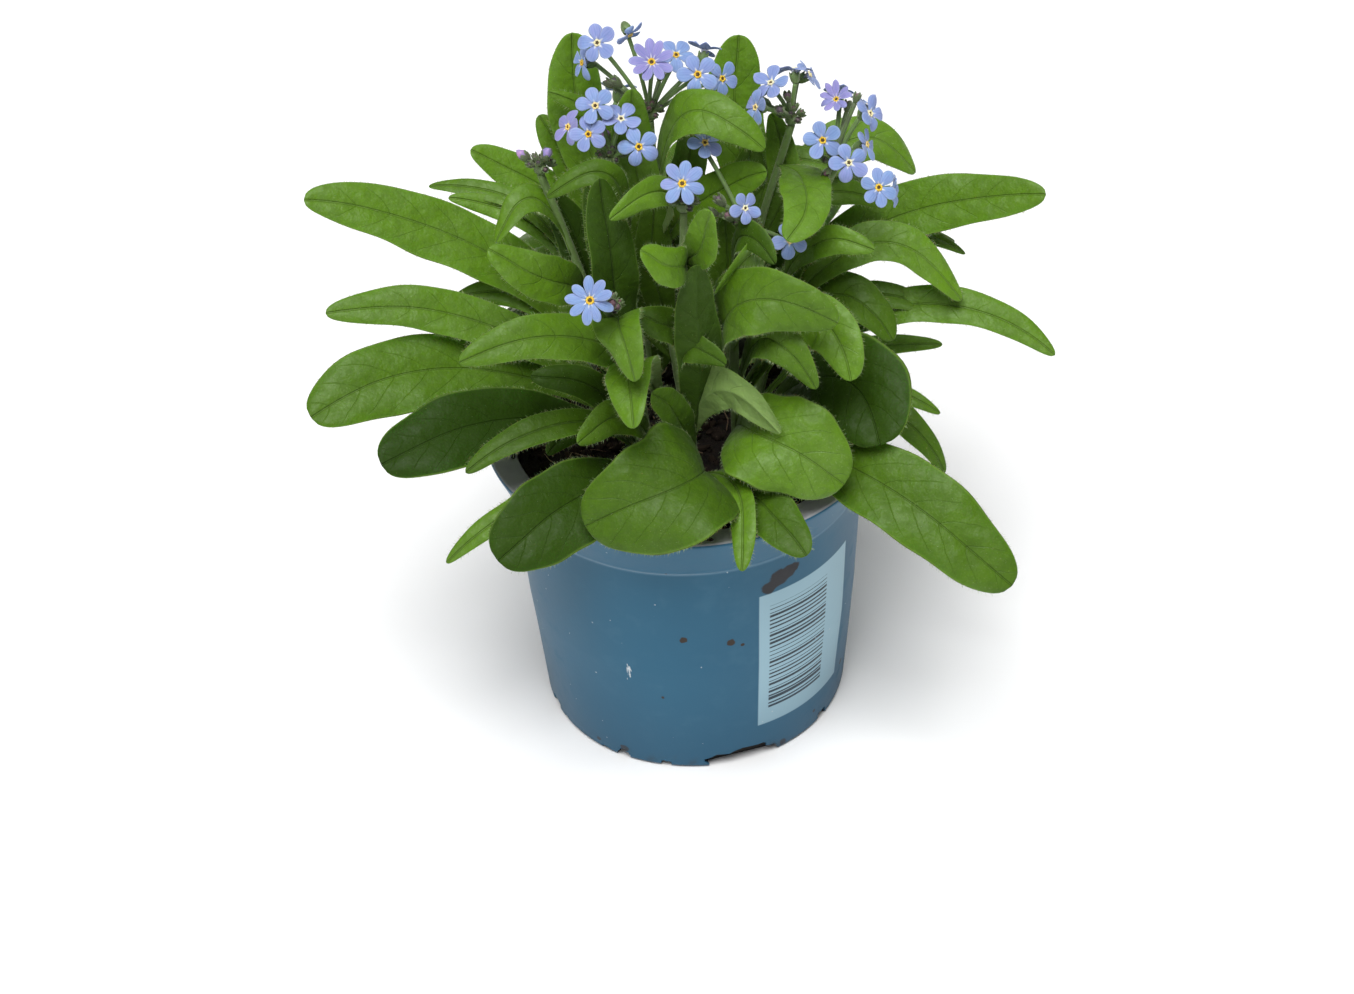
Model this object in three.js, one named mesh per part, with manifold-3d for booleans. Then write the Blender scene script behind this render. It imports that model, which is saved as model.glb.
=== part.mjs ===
// Forget-me-not plant in its nursery pot, in millimetres, +Z up.
// The pot's base centre is the origin and the label side of the pot faces -Y.
import * as THREE from 'three';
import { mergeVertices } from 'three/addons/utils/BufferGeometryUtils.js';
import Module from 'manifold-3d';

const wasm = await Module();
wasm.setup();

// Pot
const POT_HEIGHT = 86;
const LIP_RADIUS = 52.5;
const LIP_WIDTH = 7.5;
const COLLAR_LOW = 71.7;
const COLLAR_RADIUS = 46.3;
const BASE_RADIUS = 41.2;
const WALL = 1.3;
const FLOOR = 1.8;
const WAIST = 36;
const SIDES = 32;

// Soil
const SOIL_TOP = 77;
const SOIL_GAP = 0.3;
const HOLE_DEPTH = 9;

// Leaves, stems and flowers
const BLADE = 0.7;
const FOLD = 0.14;
const LEAF_STALK = 0.9;
const BROAD = [0, 0.28, 0.52, 0.74, 0.91, 0.992];
const SLIM = [0, 0.34, 0.64, 0.88, 0.992];
const CLEAR = 0.32;
const STEM_RADIUS = 1.5;
const STEM_TIP_RADIUS = 1.0;
const STALK_RADIUS = 0.55;
const PETAL = 0.8;

// Drainage notches round the foot: azimuth, width, height
const NOTCHES = [
  [-74, 21, 5.2], [-120, 4, 3], [-103, 3.4, 2.2], [-35, 4.5, 3.2], [-160, 6, 3.6],
  [15, 6, 3.2], [52, 4, 3], [88, 18, 3.4], [126, 4, 3], [162, 5, 3.2],
];

// Stems: foot x, y, a point on the way x, y, z, and the top x, y, z
const STEMS = {
  left: [-13, -2, -24, 2, 130, -33, 6, 160],
  front_left: [-9, -13, -13, -10, 130, -15, -4, 168],
  front: [2, -17, 1, -20, 130, 2, -19, 163],
  front_right: [13, -10, 14, -11, 130, 17, -12, 152],
  right: [17, 2, 27, 4, 125, 40, 5, 158],
  back_right: [9, 15, 20, 15, 130, 30, 14, 166],
  back_left: [-7, 15, -12, 24, 125, -19, 32, 150],
  centre: [1, 1, -4, 3, 130, -5, 6, 174],
  low_left: [-1, -7, -8, -18, 115, -17, -32, 143],
  far_right: [20, 19, 34, 30, 120, 44, 38, 142],
};

// Leaves: stem, height on the stem, compass turn, reach, share of the reach at mid leaf,
// height at mid leaf, height at the tip, sideways bow, width, roll, fullness towards the tip
const LEAVES = [
  ['left', 100, 177, 79, 0.65, 148, 158, -5, 16, -40, 1.3],
  ['left', 92, -174, 76, 0.63, 128, 132, -1, 12, -45, 1.3],
  ['left', 85, -163, 84, 0.68, 116, 112, -4, 20, -40, 1.9],
  ['left', 84, -151, 72, 0.68, 106, 104, 1, 20, -35, 1.7],
  ['left', 128, -157, 36, 0.52, 139, 153, 3, 12, -60, 1.2],
  ['left', 96, 172, 45, 0.71, 126, 125, -2, 8, -40, 1.4],
  ['left', 118, 160, 41, 0.62, 120, 119, -8, 11, -40, 1.3],
  ['left', 130, 156, 54, 0.67, 148, 149, -4, 6, -25, 1.2],
  ['left', 138, -173, 32, 0.7, 155, 148, -7, 8, -30, 1.2],
  ['low_left', 96, -145, 64, 0.73, 141, 139, 5, 12, -50, 1.3],
  ['front_left', 80, -148, 54, 0.63, 111, 104, 3, 8, -30, 1.3],
  ['front_left', 80, -143, 65, 0.76, 94, 84, 4, 7, -20, 1.3],
  ['front_left', 80, -133, 57, 0.67, 93, 86, 5, 22, -40, 1.7],
  ['low_left', 120, -103, 46, 0.85, 145, 137, -4, 12, 20, 1.2],
  ['low_left', 100, -103, 50, 0.86, 130, 126, -2, 12, 15, 1.3],
  ['front_left', 80, -125, 31, 0.71, 110, 109, 2, 10, -60, 1.2],
  ['front_left', 140, -172, 22, 0.49, 172, 167, 0, 7, -40, 1.2],
  ['front', 81, -128, 45, 0.62, 103, 94, 16, 31, -32, 1.2],
  ['front', 80, -77, 46, 0.79, 93, 85, 3, 7, 25, 1.8],
  ['front', 80, -58, 50, 0.8, 91, 87, 0, 13, 26, 1.5],
  ['front', 94, -46, 31, 0.46, 116, 110, -2, 12, -95, 1.1],
  ['front', 149, -119, 22, 0.76, 158, 164, 5, 10, -80, 1.2],
  ['front', 149, -66, 16, 0.84, 163, 171, -1, 10, 105, 1.2],
  ['front_right', 90, -52, 42, 0.66, 106, 96, -9, 26, 33, 1.35],
  ['front_right', 98, -46, 36, 0.63, 145, 140, -8, 17, 62, 1.3],
  ['front_right', 92, -55, 34, 0.82, 130, 122, -2, 11, 55, 1.2],
  ['front_right', 116, -106, 16, 0.6, 149, 143, 6, 10, -90, 1.2],
  ['front_right', 132, -58, 20, 0.64, 156, 152, -1, 8, 60, 1.2],
  ['front_right', 96, -40, 37, 0.86, 129, 121, 3, 14, 50, 1.4],
  ['right', 82, -43, 86, 0.72, 88, 72, -7, 21, 35, 1.5],
  ['right', 82, -49, 48, 0.75, 108, 101, 5, 26, 40, 1.6],
  ['right', 82, -24, 54, 0.85, 92, 80, 1, 8, 35, 1.3],
  ['right', 82, -8, 50, 0.86, 92, 88, 1, 6, 30, 1.2],
  ['right', 88, -6, 79, 0.75, 116, 106, 6, 10, 40, 1.3],
  ['right', 96, 2, 49, 0.77, 118, 113, 4, 8, 30, 1.3],
  ['right', 112, -2, 55, 0.69, 134, 120, 5, 11, 40, 1.2],
  ['right', 124, -20, 34, 0.69, 144, 143, 0, 8, 55, 1.2],
  ['right', 98, -15, 38, 0.79, 122, 114, 4, 13, 30, 1.3],
  ['back_right', 100, -3, 85, 0.74, 138, 144, 7, 15, 45, 1.3],
  ['back_right', 104, 4, 66, 0.84, 126, 121, 4, 6, 30, 1.2],
  ['back_right', 120, 14, 55, 0.86, 150, 141, 2, 13, 40, 1.2],
  ['back_right', 130, 56, 16, 0.8, 168, 184, -1, 15, 30, 1.4],
  ['back_right', 125, 5, 32, 0.74, 152, 150, 3, 8, 30, 1.2],
  ['back_left', 120, 142, 21, 0.94, 170, 187, 1, 15, -46, 1.5],
  ['back_left', 118, 169, 45, 0.81, 151, 157, -2, 11, -35, 1.4],
  ['back_left', 110, 152, 30, 0.82, 155, 163, 0, 11, -40, 1.3],
  ['centre', 120, 180, 10, 1.05, 168, 186, 0, 12, -90, 1.3],
  ['centre', 104, 177, 19, 0.9, 140, 166, -2, 13, -72, 1.2],
  ['left', 108, 153, 21, 0.6, 134, 154, -2, 11, -60, 1.3],
  ['centre', 145, -28, 24, 0.5, 182, 174, -2, 12, 40, 1.2],
  ['centre', 138, -25, 24, 0.67, 163, 167, 0, 11, 65, 1.2],
  ['centre', 140, -124, 30, 0.75, 168, 165, 4, 8, -60, 1.2],
  ['centre', 110, -170, 6, 1.1, 138, 156, 0, 10, -90, 1.2],
  ['centre', 100, -20, 12, 0.9, 130, 150, 0, 10, 100, 1.2],
  ['back_right', 88, 120, 12, 0.6, 120, 152, 0, 13, -25, 1.2],
  ['back_right', 100, 20, 12, 0.6, 128, 158, 0, 12, 75, 1.2],
  ['back_left', 88, -10, 9, 0.6, 114, 142, 0, 13, 105, 1.2],
  ['front_left', 92, -166, 30, 0.65, 114, 117, 2, 9, -45, 1.2],
  ['back_right', 154, -65, 42, 0.64, 158, 156, 14, 13, -7, 1.0],
  ['front', 118, -137, 17, 0.53, 134, 140, 2, 9, -78, 1.3],
  ['front', 106, -59, 17, 0.63, 128, 126, -3, 8, 65, 1.3],
  ['front', 86, -115, 23, 0.7, 115, 123, 1, 9, -102, 1.3],
  ['back_right', 128, 17, 17, 1.11, 156, 166, -3, 9, 56, 1.3],
  ['left', 126, 160, 47, 0.7, 144, 149, -5, 6, -40, 1.3],
  ['front_left', 82, -150, 30, 0.74, 101, 98, -2, 7, -43, 1.3],
  ['back_right', 112, 6, 45, 0.8, 142, 137, 1, 8, 45, 1.3],
  ['back_right', 92, 1, 60, 0.81, 96, 95, 0, 6, 43, 1.3],
  ['back_left', 116, 168, 24, 0.69, 171, 175, -2, 6, -50, 1.3],
  ['front', 92, -78, 12, 0.7, 122, 154, 0, 12, 0, 1.2],
  ['front_left', 112, -150, 10, 1.02, 155, 173, 2, 12, -100, 1.3],
  ['centre', 128, 72, 14, 0.54, 158, 169, 0, 10, 0, 1.3],
];

// Leaves of the far side, shaped by one rule: stem, turn, height, reach, width
const FAR_LEAVES = [
  ['back_left', 100, 82, 62, 19],
  ['back_left', 128, 84, 58, 18],
  ['back_left', 76, 86, 56, 18],
  ['back_left', 150, 90, 46, 12],
  ['back_left', 112, 98, 51, 12],
  ['back_left', 72, 115, 30, 11],
  ['back_left', 55, 120, 38, 10],
  ['far_right', 62, 82, 60, 19],
  ['far_right', 26, 89, 57, 18],
  ['far_right', 88, 86, 52, 17],
  ['far_right', 11, 93, 54, 12],
  ['far_right', 53, 112, 37, 12],
  ['far_right', 31, 110, 35, 11],
  ['left', 144, 89, 44, 14],
];

// Flowers: stem, x, y, z, azimuth and lift of the face, radius, petals
const FLOWERS = [
  ['centre', -17, 10, 194, -100, 40, 5.2, 5], ['centre', -21, 13, 187, -160, 20, 4.6, 5],
  ['centre', -9, 8, 197, -60, -35, 4.2, 5], ['centre', -4, 3, 192, -95, 50, 5.8, 9],
  ['centre', 2, 11, 189, -70, 60, 5, 5], ['centre', 7, 3, 188, -88, 38, 5.4, 5],
  ['centre', 13, 9, 183, -50, 30, 4.8, 5], ['centre', 9, 15, 188, 70, 45, 4.6, 5],
  ['front_left', -18, -6, 186, -95, 40, 5, 5], ['front_left', -20, -9, 180, -100, 30, 4.8, 5],
  ['front_left', -25, -2, 178, -150, 30, 4.8, 5], ['front_left', -12, -6, 182, -70, 62, 5, 5],
  ['front_left', -8, -11, 177, -85, 32, 5.2, 5],
  ['back_right', 25, 11, 180, -140, 65, 5, 5], ['back_right', 31, 17, 180, 95, 52, 5, 5],
  ['back_right', 35, 21, 176, 0, 30, 4.8, 5], ['back_right', 21, 8, 175, -150, 25, 4.8, 5],
  ['back_right', 22, 15, 173, 150, 20, 4.8, 5],
  ['right', 41, 10, 175, -120, 60, 4.4, 9], ['right', 49, 6, 173, -30, 35, 5, 5],
  ['right', 37, 1, 169, -100, 36, 5.2, 5], ['right', 43, -5, 166, -88, 36, 5.2, 5],
  ['right', 48, 3, 166, -20, 20, 4.6, 5], ['right', 50, -9, 161, -75, 36, 5.2, 6],
  ['right', 54, -3, 156, -20, 10, 4.4, 5],
  ['front', 2, -22, 173, -88, 42, 5.8, 7], ['low_left', -21, -46, 157, -98, 38, 6, 9],
  ['front_right', 8, -4, 173, -80, 50, 4.8, 5], ['front_right', 17, -17, 162, -60, 25, 4.4, 5],
  ['front_right', 28, -11, 148, -80, 35, 5, 5],
  ['back_left', -22, 38, 163, 110, 40, 5, 5], ['back_left', -13, 37, 165, 70, 50, 5, 5],
  ['far_right', 44, 45, 156, 80, 40, 5, 5], ['far_right', 51, 41, 154, 30, 40, 5, 5],
];

// Buds: stem, x, y, z, length
const BUDS = [
  ['left', -31, 4, 167, 4.6], ['left', -37, 7, 165, 4.2],
  ['front_left', -16, -2, 175, 4], ['front_left', -13, -2, 171, 3.6],
  ['centre', -13, 8, 184, 4], ['centre', -15, 11, 182, 3.4], ['centre', -2, 12, 183, 3.2],
  ['back_right', 27, 8, 174, 3.6], ['back_right', 29, 11, 176, 3.4],
  ['right', 44, 12, 172, 3.6], ['right', 46, 9, 176, 3.2], ['right', 36, 6, 162, 3.6],
  ['right', 38, 2, 159, 3.4],
  ['front_right', 11, -13, 162, 4.2], ['front_right', 13, -14, 158, 4], ['front_right', 9, -12, 158, 3.4],
  ['low_left', -16, -42, 153, 3.8], ['low_left', -15, -39, 150, 3.2],
  ['back_left', -18, 30, 160, 3.6],
  ['far_right', 46, 36, 152, 3.6],
];

// One small inner leaf stands beside most stems: stem, turn, height, reach
const INNER_LEAVES = [
  ['left', 215, 104, 17], ['front_left', 215, 100, 18], ['front_right', 330, 100, 16], ['right', 20, 104, 16],
  ['back_right', 100, 104, 18], ['back_left', 120, 100, 17],
  ['far_right', 60, 98, 18],
];

const radians = (degrees) => (degrees * Math.PI) / 180;
const point = (x, y, z) => new THREE.Vector3(x, y, z);
const direction = (azimuth, lift) =>
  point(
    Math.cos(radians(azimuth)) * Math.cos(radians(lift)),
    Math.sin(radians(azimuth)) * Math.cos(radians(lift)),
    Math.sin(radians(lift)),
  );

function solid(points, faces) {
  const vertProperties = new Float32Array(points.flatMap((p) => [p.x, p.y, p.z]));
  return new wasm.Manifold(
    new wasm.Mesh({ numProp: 3, vertProperties, triVerts: new Uint32Array(faces.flat()) }),
  );
}

function solidFrom(geometry) {
  const plain = geometry.index ? geometry.toNonIndexed() : geometry;
  plain.deleteAttribute('normal');
  plain.deleteAttribute('uv');
  const welded = mergeVertices(plain, 1e-4);
  return new wasm.Manifold(
    new wasm.Mesh({
      numProp: 3,
      vertProperties: new Float32Array(welded.attributes.position.array),
      triVerts: new Uint32Array(welded.index.array),
    }),
  );
}

// Joins a list of solids in pairs
function joined(parts) {
  let list = parts;
  while (list.length > 1) {
    const next = [];
    for (let i = 1; i < list.length; i += 2) next.push(list[i - 1].add(list[i]));
    if (list.length % 2) next.push(list[list.length - 1]);
    list = next;
  }
  return list[0];
}

// Skin of a bar whose rings all have the same number of points
function skin(rings) {
  const around = rings[0].length;
  const faces = [];
  for (let i = 0; i + 1 < rings.length; i += 1) {
    for (let j = 0; j < around; j += 1) {
      const a = i * around + j;
      const b = i * around + ((j + 1) % around);
      faces.push([a, b, b + around], [a, b + around, a + around]);
    }
  }
  const last = (rings.length - 1) * around;
  for (let j = 1; j + 1 < around; j += 1) {
    faces.push([0, j + 1, j], [last, last + j, last + j + 1]);
  }
  return solid(rings.flat(), faces);
}

function lathe(profile) {
  const outline = profile.map(([r, z]) => new THREE.Vector2(r, z));
  const geometry = new THREE.LatheGeometry(outline, SIDES);
  geometry.rotateX(Math.PI / 2);
  return solidFrom(geometry);
}

// Bar through a run of points with a radius at each of them
function bar(path, radii, sides) {
  const rings = path.map((centre, i) => {
    const before = path[Math.max(i - 1, 0)];
    const after = path[Math.min(i + 1, path.length - 1)];
    const along = after.clone().sub(before).normalize();
    const side = point(0.31, 0.95, 0.02).cross(along).normalize();
    const front = along.clone().cross(side);
    return Array.from({ length: sides }, (_, j) => {
      const turn = (2 * Math.PI * j) / sides;
      return centre
        .clone()
        .addScaledVector(side, radii[i] * Math.cos(turn))
        .addScaledVector(front, radii[i] * Math.sin(turn));
    });
  });
  return skin(rings);
}

function stemPath(name) {
  const [x, y, mx, my, mz, tx, ty, tz] = STEMS[name];
  return new THREE.CatmullRomCurve3([
    point(x, y, SOIL_TOP - HOLE_DEPTH + 1),
    point(x, y, SOIL_TOP + 1),
    point(mx, my, mz),
    point(tx, ty, tz),
  ]);
}

function stemPointAt(name, height) {
  const path = stemPath(name);
  let low = 0;
  let high = 1;
  for (let i = 0; i < 30; i += 1) {
    const t = (low + high) / 2;
    if (path.getPoint(t).z < height) low = t;
    else high = t;
  }
  return path.getPoint(low);
}

// Blade half width along the leaf: a bent half sine, slender to the stalk and round to the tip
function fullness(t, bend) {
  const widest = 0.5 ** (1 / bend);
  return Math.max(Math.sin(Math.PI * t ** bend), 0) ** (t < widest ? 0.75 : 0.48);
}

// Thin folded blade: the middle line is the arch through stem, mid leaf and tip
function blade(start, middle, tip, level, width, roll, bend, grow) {
  const rings = [];
  const stations = width > 13 ? BROAD : SLIM;
  const half = BLADE / 2 + grow;
  const lower = middle.distanceTo(start);
  const m = lower / (lower + tip.distanceTo(middle));
  const mix = (a, b, c) =>
    point(0, 0, 0).addScaledVector(start, a).addScaledVector(middle, b).addScaledVector(tip, c);
  for (const t of stations) {
    const on = mix(
      ((t - m) * (t - 1)) / m, (t * (t - 1)) / (m * (m - 1)), (t * (t - m)) / (1 - m),
    );
    const along = mix(
      (2 * t - 1 - m) / m, (2 * t - 1) / (m * (m - 1)), (2 * t - m) / (1 - m),
    ).normalize();
    const side = point(0, 0, 1).cross(level);
    side.addScaledVector(along, -side.dot(along)).normalize();
    const up = along.clone().cross(side);
    side.applyAxisAngle(along, radians(roll));
    up.applyAxisAngle(along, radians(roll));
    const reach = Math.max((width / 2) * fullness(t, bend), LEAF_STALK) + grow;
    const lift = FOLD * reach;
    const place = (s, n) => on.clone().addScaledVector(side, s).addScaledVector(up, n);
    const upper = [place(reach, lift + half), place(-reach, lift + half)];
    const lower = [place(-reach, lift - half), place(reach, lift - half)];
    if (width > 11) {
      upper.splice(1, 0, place(0, half));
      lower.splice(1, 0, place(0, -half));
    }
    rings.push([...upper, ...lower]);
  }
  return leafSkin(rings);
}

// Upper and lower faces are split into triangles alike
function leafSkin(rings) {
  const faces = [];
  const n = rings[0].length;
  const quad = (a, b, c, d, flip) => (flip ? [[a, b, d], [b, c, d]] : [[a, b, c], [a, c, d]]);
  for (let i = 0; i + 1 < rings.length; i += 1) {
    for (let j = 0; j < n; j += 1) {
      const k = (j + 1) % n;
      faces.push(...quad(n * i + j, n * i + k, n * i + n + k, n * i + n + j, j >= n / 2));
    }
  }
  const caps = n === 6 ? [[0, 5, 4], [0, 4, 1], [1, 4, 3], [1, 3, 2]] : [[0, 3, 2], [0, 2, 1]];
  const last = n * (rings.length - 1);
  for (const [a, b, c] of caps) {
    faces.push([a, b, c], [last + a, last + c, last + b]);
  }
  return solid(rings.flat(), faces);
}

// Turn and reach are measured from the foot of the stem
function leaf([stem, height, turn, reach, share, crest, tipZ, bow, width, roll, bend], grow) {
  const start = stemPointAt(stem, height).addScaledVector(direction(turn, 0), 0.5);
  const foot = point(STEMS[stem][0], STEMS[stem][1], 0);
  const out = direction(turn, 0);
  const across = point(0, 0, 1).cross(out);
  const middle = foot.clone().addScaledVector(out, share * reach).addScaledVector(across, bow);
  const tip = foot.clone().addScaledVector(out, reach);
  middle.z = crest;
  tip.z = tipZ;
  return blade(start, middle, tip, out, width, roll, bend, grow);
}

function farLeaf([stem, turn, height, reach, width]) {
  const wave = Math.sin(0.11 * turn + height);
  const crest = height + 12 + 0.36 * reach + 4 * wave;
  const tipZ = crest - 0.1 * reach + 5 * wave;
  return [stem, height, turn, reach, 0.66, crest, tipZ, 3 * wave, width, 8 * wave, 1.4];
}

function innerLeaf([stem, turn, height, reach]) {
  return [stem, height, turn, reach, 0.6, height + 17, height + 26, 1, 9, 9, 1.3];
}

// Flower: a dished disc with rounded lobes, on a stalk that widens into tube and calyx
function flower([stem, x, y, z, azimuth, lift, radius, petals], grow) {
  const face = direction(azimuth, lift);
  const centre = point(x, y, z);
  const side = point(0, 0, 1).cross(face).normalize();
  const up = face.clone().cross(side);
  const place = (r, turn, n) =>
    centre
      .clone()
      .addScaledVector(side, r * Math.cos(turn))
      .addScaledVector(up, r * Math.sin(turn))
      .addScaledVector(face, n);
  const lobe = [[-0.5, 0.5], [-0.27, 0.97], [0.27, 0.97]];
  const outline = [];
  for (let k = 0; k < petals; k += 1) {
    const size = radius * (1 - 0.05 * (k % 2));
    for (const [share, r] of lobe) {
      outline.push([size * r + grow, ((k + share + 0.5) * 2 * Math.PI) / petals]);
    }
  }
  const count = outline.length;
  const half = PETAL / 2 + grow;
  const points = [place(0, 0, half - 0.3), place(0, 0, -half - 0.3)];
  for (const [r, turn] of outline) points.push(place(r, turn, half + 0.05 * r));
  for (const [r, turn] of outline) points.push(place(r, turn, -half + 0.05 * r));
  const faces = [];
  for (let i = 0; i < count; i += 1) {
    const a = 2 + i;
    const b = 2 + ((i + 1) % count);
    faces.push([0, a, b], [1, b + count, a + count], [a, a + count, b], [b, a + count, b + count]);
  }
  return [solid(points, faces), stalk(stem, centre, face, grow)];
}

function stalk(stem, centre, face, grow) {
  const low = knobCentre(stem);
  const neck = centre.clone().addScaledVector(face, -3.4);
  const end = centre.clone().addScaledVector(face, -0.4);
  const start = low.addScaledVector(neck.clone().sub(low).normalize(), 1);
  const radii = [STALK_RADIUS, STALK_RADIUS, 1.2].map((r) => r + grow);
  return bar([start, neck, end], radii, 3);
}

function knobCentre(stem) {
  return stemPointAt(stem, STEMS[stem][7]).add(point(0, 0, 1.7));
}

// Bud: a five-sided spindle on a straight stalk
function bud([stem, x, y, z, length], grow) {
  const low = knobCentre(stem);
  const centre = point(x, y, z);
  const along = centre.clone().sub(low).normalize();
  const radii = [STALK_RADIUS, STALK_RADIUS, 0.3 * length, 0.1 * length].map((r) => r + grow);
  const path = [
    low.addScaledVector(along, 1), centre.clone().addScaledVector(along, -length / 2),
    centre, centre.clone().addScaledVector(along, length / 2),
  ];
  return bar(path, radii, 3);
}

// Knob at the head of a stem from which all the stalks of a bunch leave
function knob(stem, grow) {
  const centre = knobCentre(stem);
  const low = centre.clone().add(point(0, 0, -1.3));
  const high = centre.clone().add(point(0, 0, 1.1));
  return bar([low, centre, high], [1, 1.7, 1].map((r) => r + grow), 5);
}

function bunch(stem, grow) {
  const parts = [knob(stem, grow)];
  for (const row of FLOWERS) if (row[0] === stem) parts.push(...flower(row, grow));
  for (const row of BUDS) if (row[0] === stem) parts.push(bud(row, grow));
  return joined(parts);
}

function stem(name, grow) {
  const points = stemPath(name).getPoints(5);
  const radii = points.map((_, i) => STEM_RADIUS + ((STEM_TIP_RADIUS - STEM_RADIUS) * i) / 5 + grow);
  return bar(points, radii, 5);
}

function leafyStem(name, grow) {
  const parts = [stem(name, grow)];
  for (const row of LEAVES) if (row[0] === name) parts.push(leaf(row, grow));
  for (const row of FAR_LEAVES) if (row[0] === name) parts.push(leaf(farLeaf(row), grow));
  for (const row of INNER_LEAVES) if (row[0] === name) parts.push(leaf(innerLeaf(row), grow));
  return joined(parts);
}

function pot() {
  const inner = LIP_RADIUS - LIP_WIDTH;
  const foot = BASE_RADIUS - WALL;
  let body = lathe([
    [0, 0], [BASE_RADIUS - 0.8, 0], [BASE_RADIUS, 0.8], [BASE_RADIUS + 3.1, WAIST],
    [COLLAR_RADIUS, COLLAR_LOW], [COLLAR_RADIUS + 0.7, COLLAR_LOW + 1],
    [LIP_RADIUS - 0.3, POT_HEIGHT - 1.6], [LIP_RADIUS, POT_HEIGHT - 0.7],
    [LIP_RADIUS - 0.6, POT_HEIGHT], [inner, POT_HEIGHT - 1.2],
    [inner - 0.4, COLLAR_LOW], [foot + 3.1, WAIST], [foot, FLOOR], [0, FLOOR],
  ]);
  for (const [azimuth, width, height] of NOTCHES) {
    const half = width / 2;
    const outline = new THREE.CylinderGeometry(half, half, 8, 8).rotateY(Math.PI / 8);
    const notch = solidFrom(outline.scale(1, 1, height / half));
    const turned = notch.rotate([0, 0, 90]).translate([BASE_RADIUS + 0.4, 0, 0]);
    body = body.subtract(turned.rotate([0, 0, azimuth]));
  }
  return body;
}

function soil() {
  const foot = BASE_RADIUS - WALL - SOIL_GAP - 0.05;
  const inner = LIP_RADIUS - LIP_WIDTH - SOIL_GAP - 0.1;
  const low = FLOOR + SOIL_GAP;
  let body = lathe([
    [0, low], [foot, low], [foot + 3.1, WAIST], [inner - 0.5, COLLAR_LOW],
    [inner - 0.4, SOIL_TOP - 1], [inner - 5, SOIL_TOP], [0, SOIL_TOP + 0.4],
  ]);
  for (const name of Object.keys(STEMS)) {
    const [x, y] = STEMS[name];
    const radius = (STEM_RADIUS + CLEAR) / Math.cos(Math.PI / 6);
    const hole = new THREE.CylinderGeometry(radius, radius, 2 * HOLE_DEPTH, 6).rotateX(Math.PI / 2);
    body = body.subtract(solidFrom(hole.translate(x, y, SOIL_TOP)));
  }
  return body;
}

// The main body of a cut solid, without loose scraps
function largest(body) {
  const data = body.getMesh();
  const geometry = new THREE.BufferGeometry();
  geometry.setAttribute('position', new THREE.BufferAttribute(data.vertProperties, 3));
  geometry.setIndex(new THREE.BufferAttribute(data.triVerts, 1));
  const pieces = solidFrom(geometry).decompose();
  pieces.sort((a, b) => b.volume() - a.volume());
  return pieces[0];
}

function meshOf(body, name, colour, roughness) {
  const data = body.getMesh();
  const geometry = new THREE.BufferGeometry();
  geometry.setAttribute('position', new THREE.BufferAttribute(data.vertProperties, 3));
  geometry.setIndex(new THREE.BufferAttribute(data.triVerts, 1));
  geometry.computeVertexNormals();
  const mesh = new THREE.Mesh(geometry, new THREE.MeshStandardMaterial({ color: colour, roughness }));
  mesh.name = name;
  return mesh;
}

const BUNCH_COLOUR = 0x7f9fdc;
const LEAF_COLOURS = [0x5f9a2c, 0x4f8a2a, 0x6aa436, 0x3f7a26];

function build() {
  const group = new THREE.Group();
  group.name = 'potted_forget_me_not';
  const potBody = pot();
  const soilBody = soil();
  group.add(meshOf(potBody, 'pot', 0x4f86a3, 0.5));
  group.add(meshOf(soilBody, 'soil', 0x1f1712, 1));
  const names = Object.keys(STEMS);
  let taken = potBody;
  for (const name of names) {
    const body = largest(bunch(name, 0).subtract(taken));
    group.add(meshOf(body, `flowers_${name}`, BUNCH_COLOUR, 0.7));
    taken = taken.add(bunch(name, CLEAR));
  }
  names.forEach((name, i) => {
    const body = largest(leafyStem(name, 0).subtract(taken).subtract(soilBody));
    group.add(meshOf(body, `leafy_stem_${name}`, LEAF_COLOURS[i % 4], 0.6));
    taken = taken.add(leafyStem(name, CLEAR));
  });
  return group;
}

export default build();
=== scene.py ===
from collections import namedtuple

import bpy
import numpy as np
from bpy.props import FloatProperty, FloatVectorProperty, IntProperty, PointerProperty
from mathutils import Matrix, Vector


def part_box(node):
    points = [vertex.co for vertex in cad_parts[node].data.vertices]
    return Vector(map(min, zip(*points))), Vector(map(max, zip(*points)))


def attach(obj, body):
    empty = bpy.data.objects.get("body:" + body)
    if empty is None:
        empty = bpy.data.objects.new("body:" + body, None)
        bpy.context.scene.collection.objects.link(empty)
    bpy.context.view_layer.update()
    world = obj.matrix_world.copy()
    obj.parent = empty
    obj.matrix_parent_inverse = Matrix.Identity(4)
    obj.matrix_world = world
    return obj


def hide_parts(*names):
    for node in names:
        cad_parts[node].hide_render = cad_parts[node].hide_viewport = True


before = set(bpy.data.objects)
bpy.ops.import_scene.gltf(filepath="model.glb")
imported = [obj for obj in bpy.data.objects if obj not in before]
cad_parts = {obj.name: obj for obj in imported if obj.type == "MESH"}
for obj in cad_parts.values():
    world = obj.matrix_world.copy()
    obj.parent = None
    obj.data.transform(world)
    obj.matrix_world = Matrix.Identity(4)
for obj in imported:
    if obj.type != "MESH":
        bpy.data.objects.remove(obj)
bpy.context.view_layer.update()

LOW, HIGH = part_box("pot")

bl_info = {
    "name": "Potted Forget-me-not",
    "version": (1, 0, 0),
    "blender": (4, 5, 0),
    "location": "3D View > Sidebar > Forget-me-not",
    "description": "Builds a flowering forget-me-not in its nursery pot, leaf by leaf and flower by flower",
    "category": "Add Mesh",
}

# All tables are in millimetres and degrees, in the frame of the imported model
MM = 0.001
UP = np.array([0.0, 0.0, 1.0])

# Seeds of the random draws; those of leaves and flowers count on by stem
NICK_SEED, TEXTURE_SEED, SOIL_SEED, LEAF_SEED, FLOWER_SEED = 8, 5, 11, 100, 200

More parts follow.
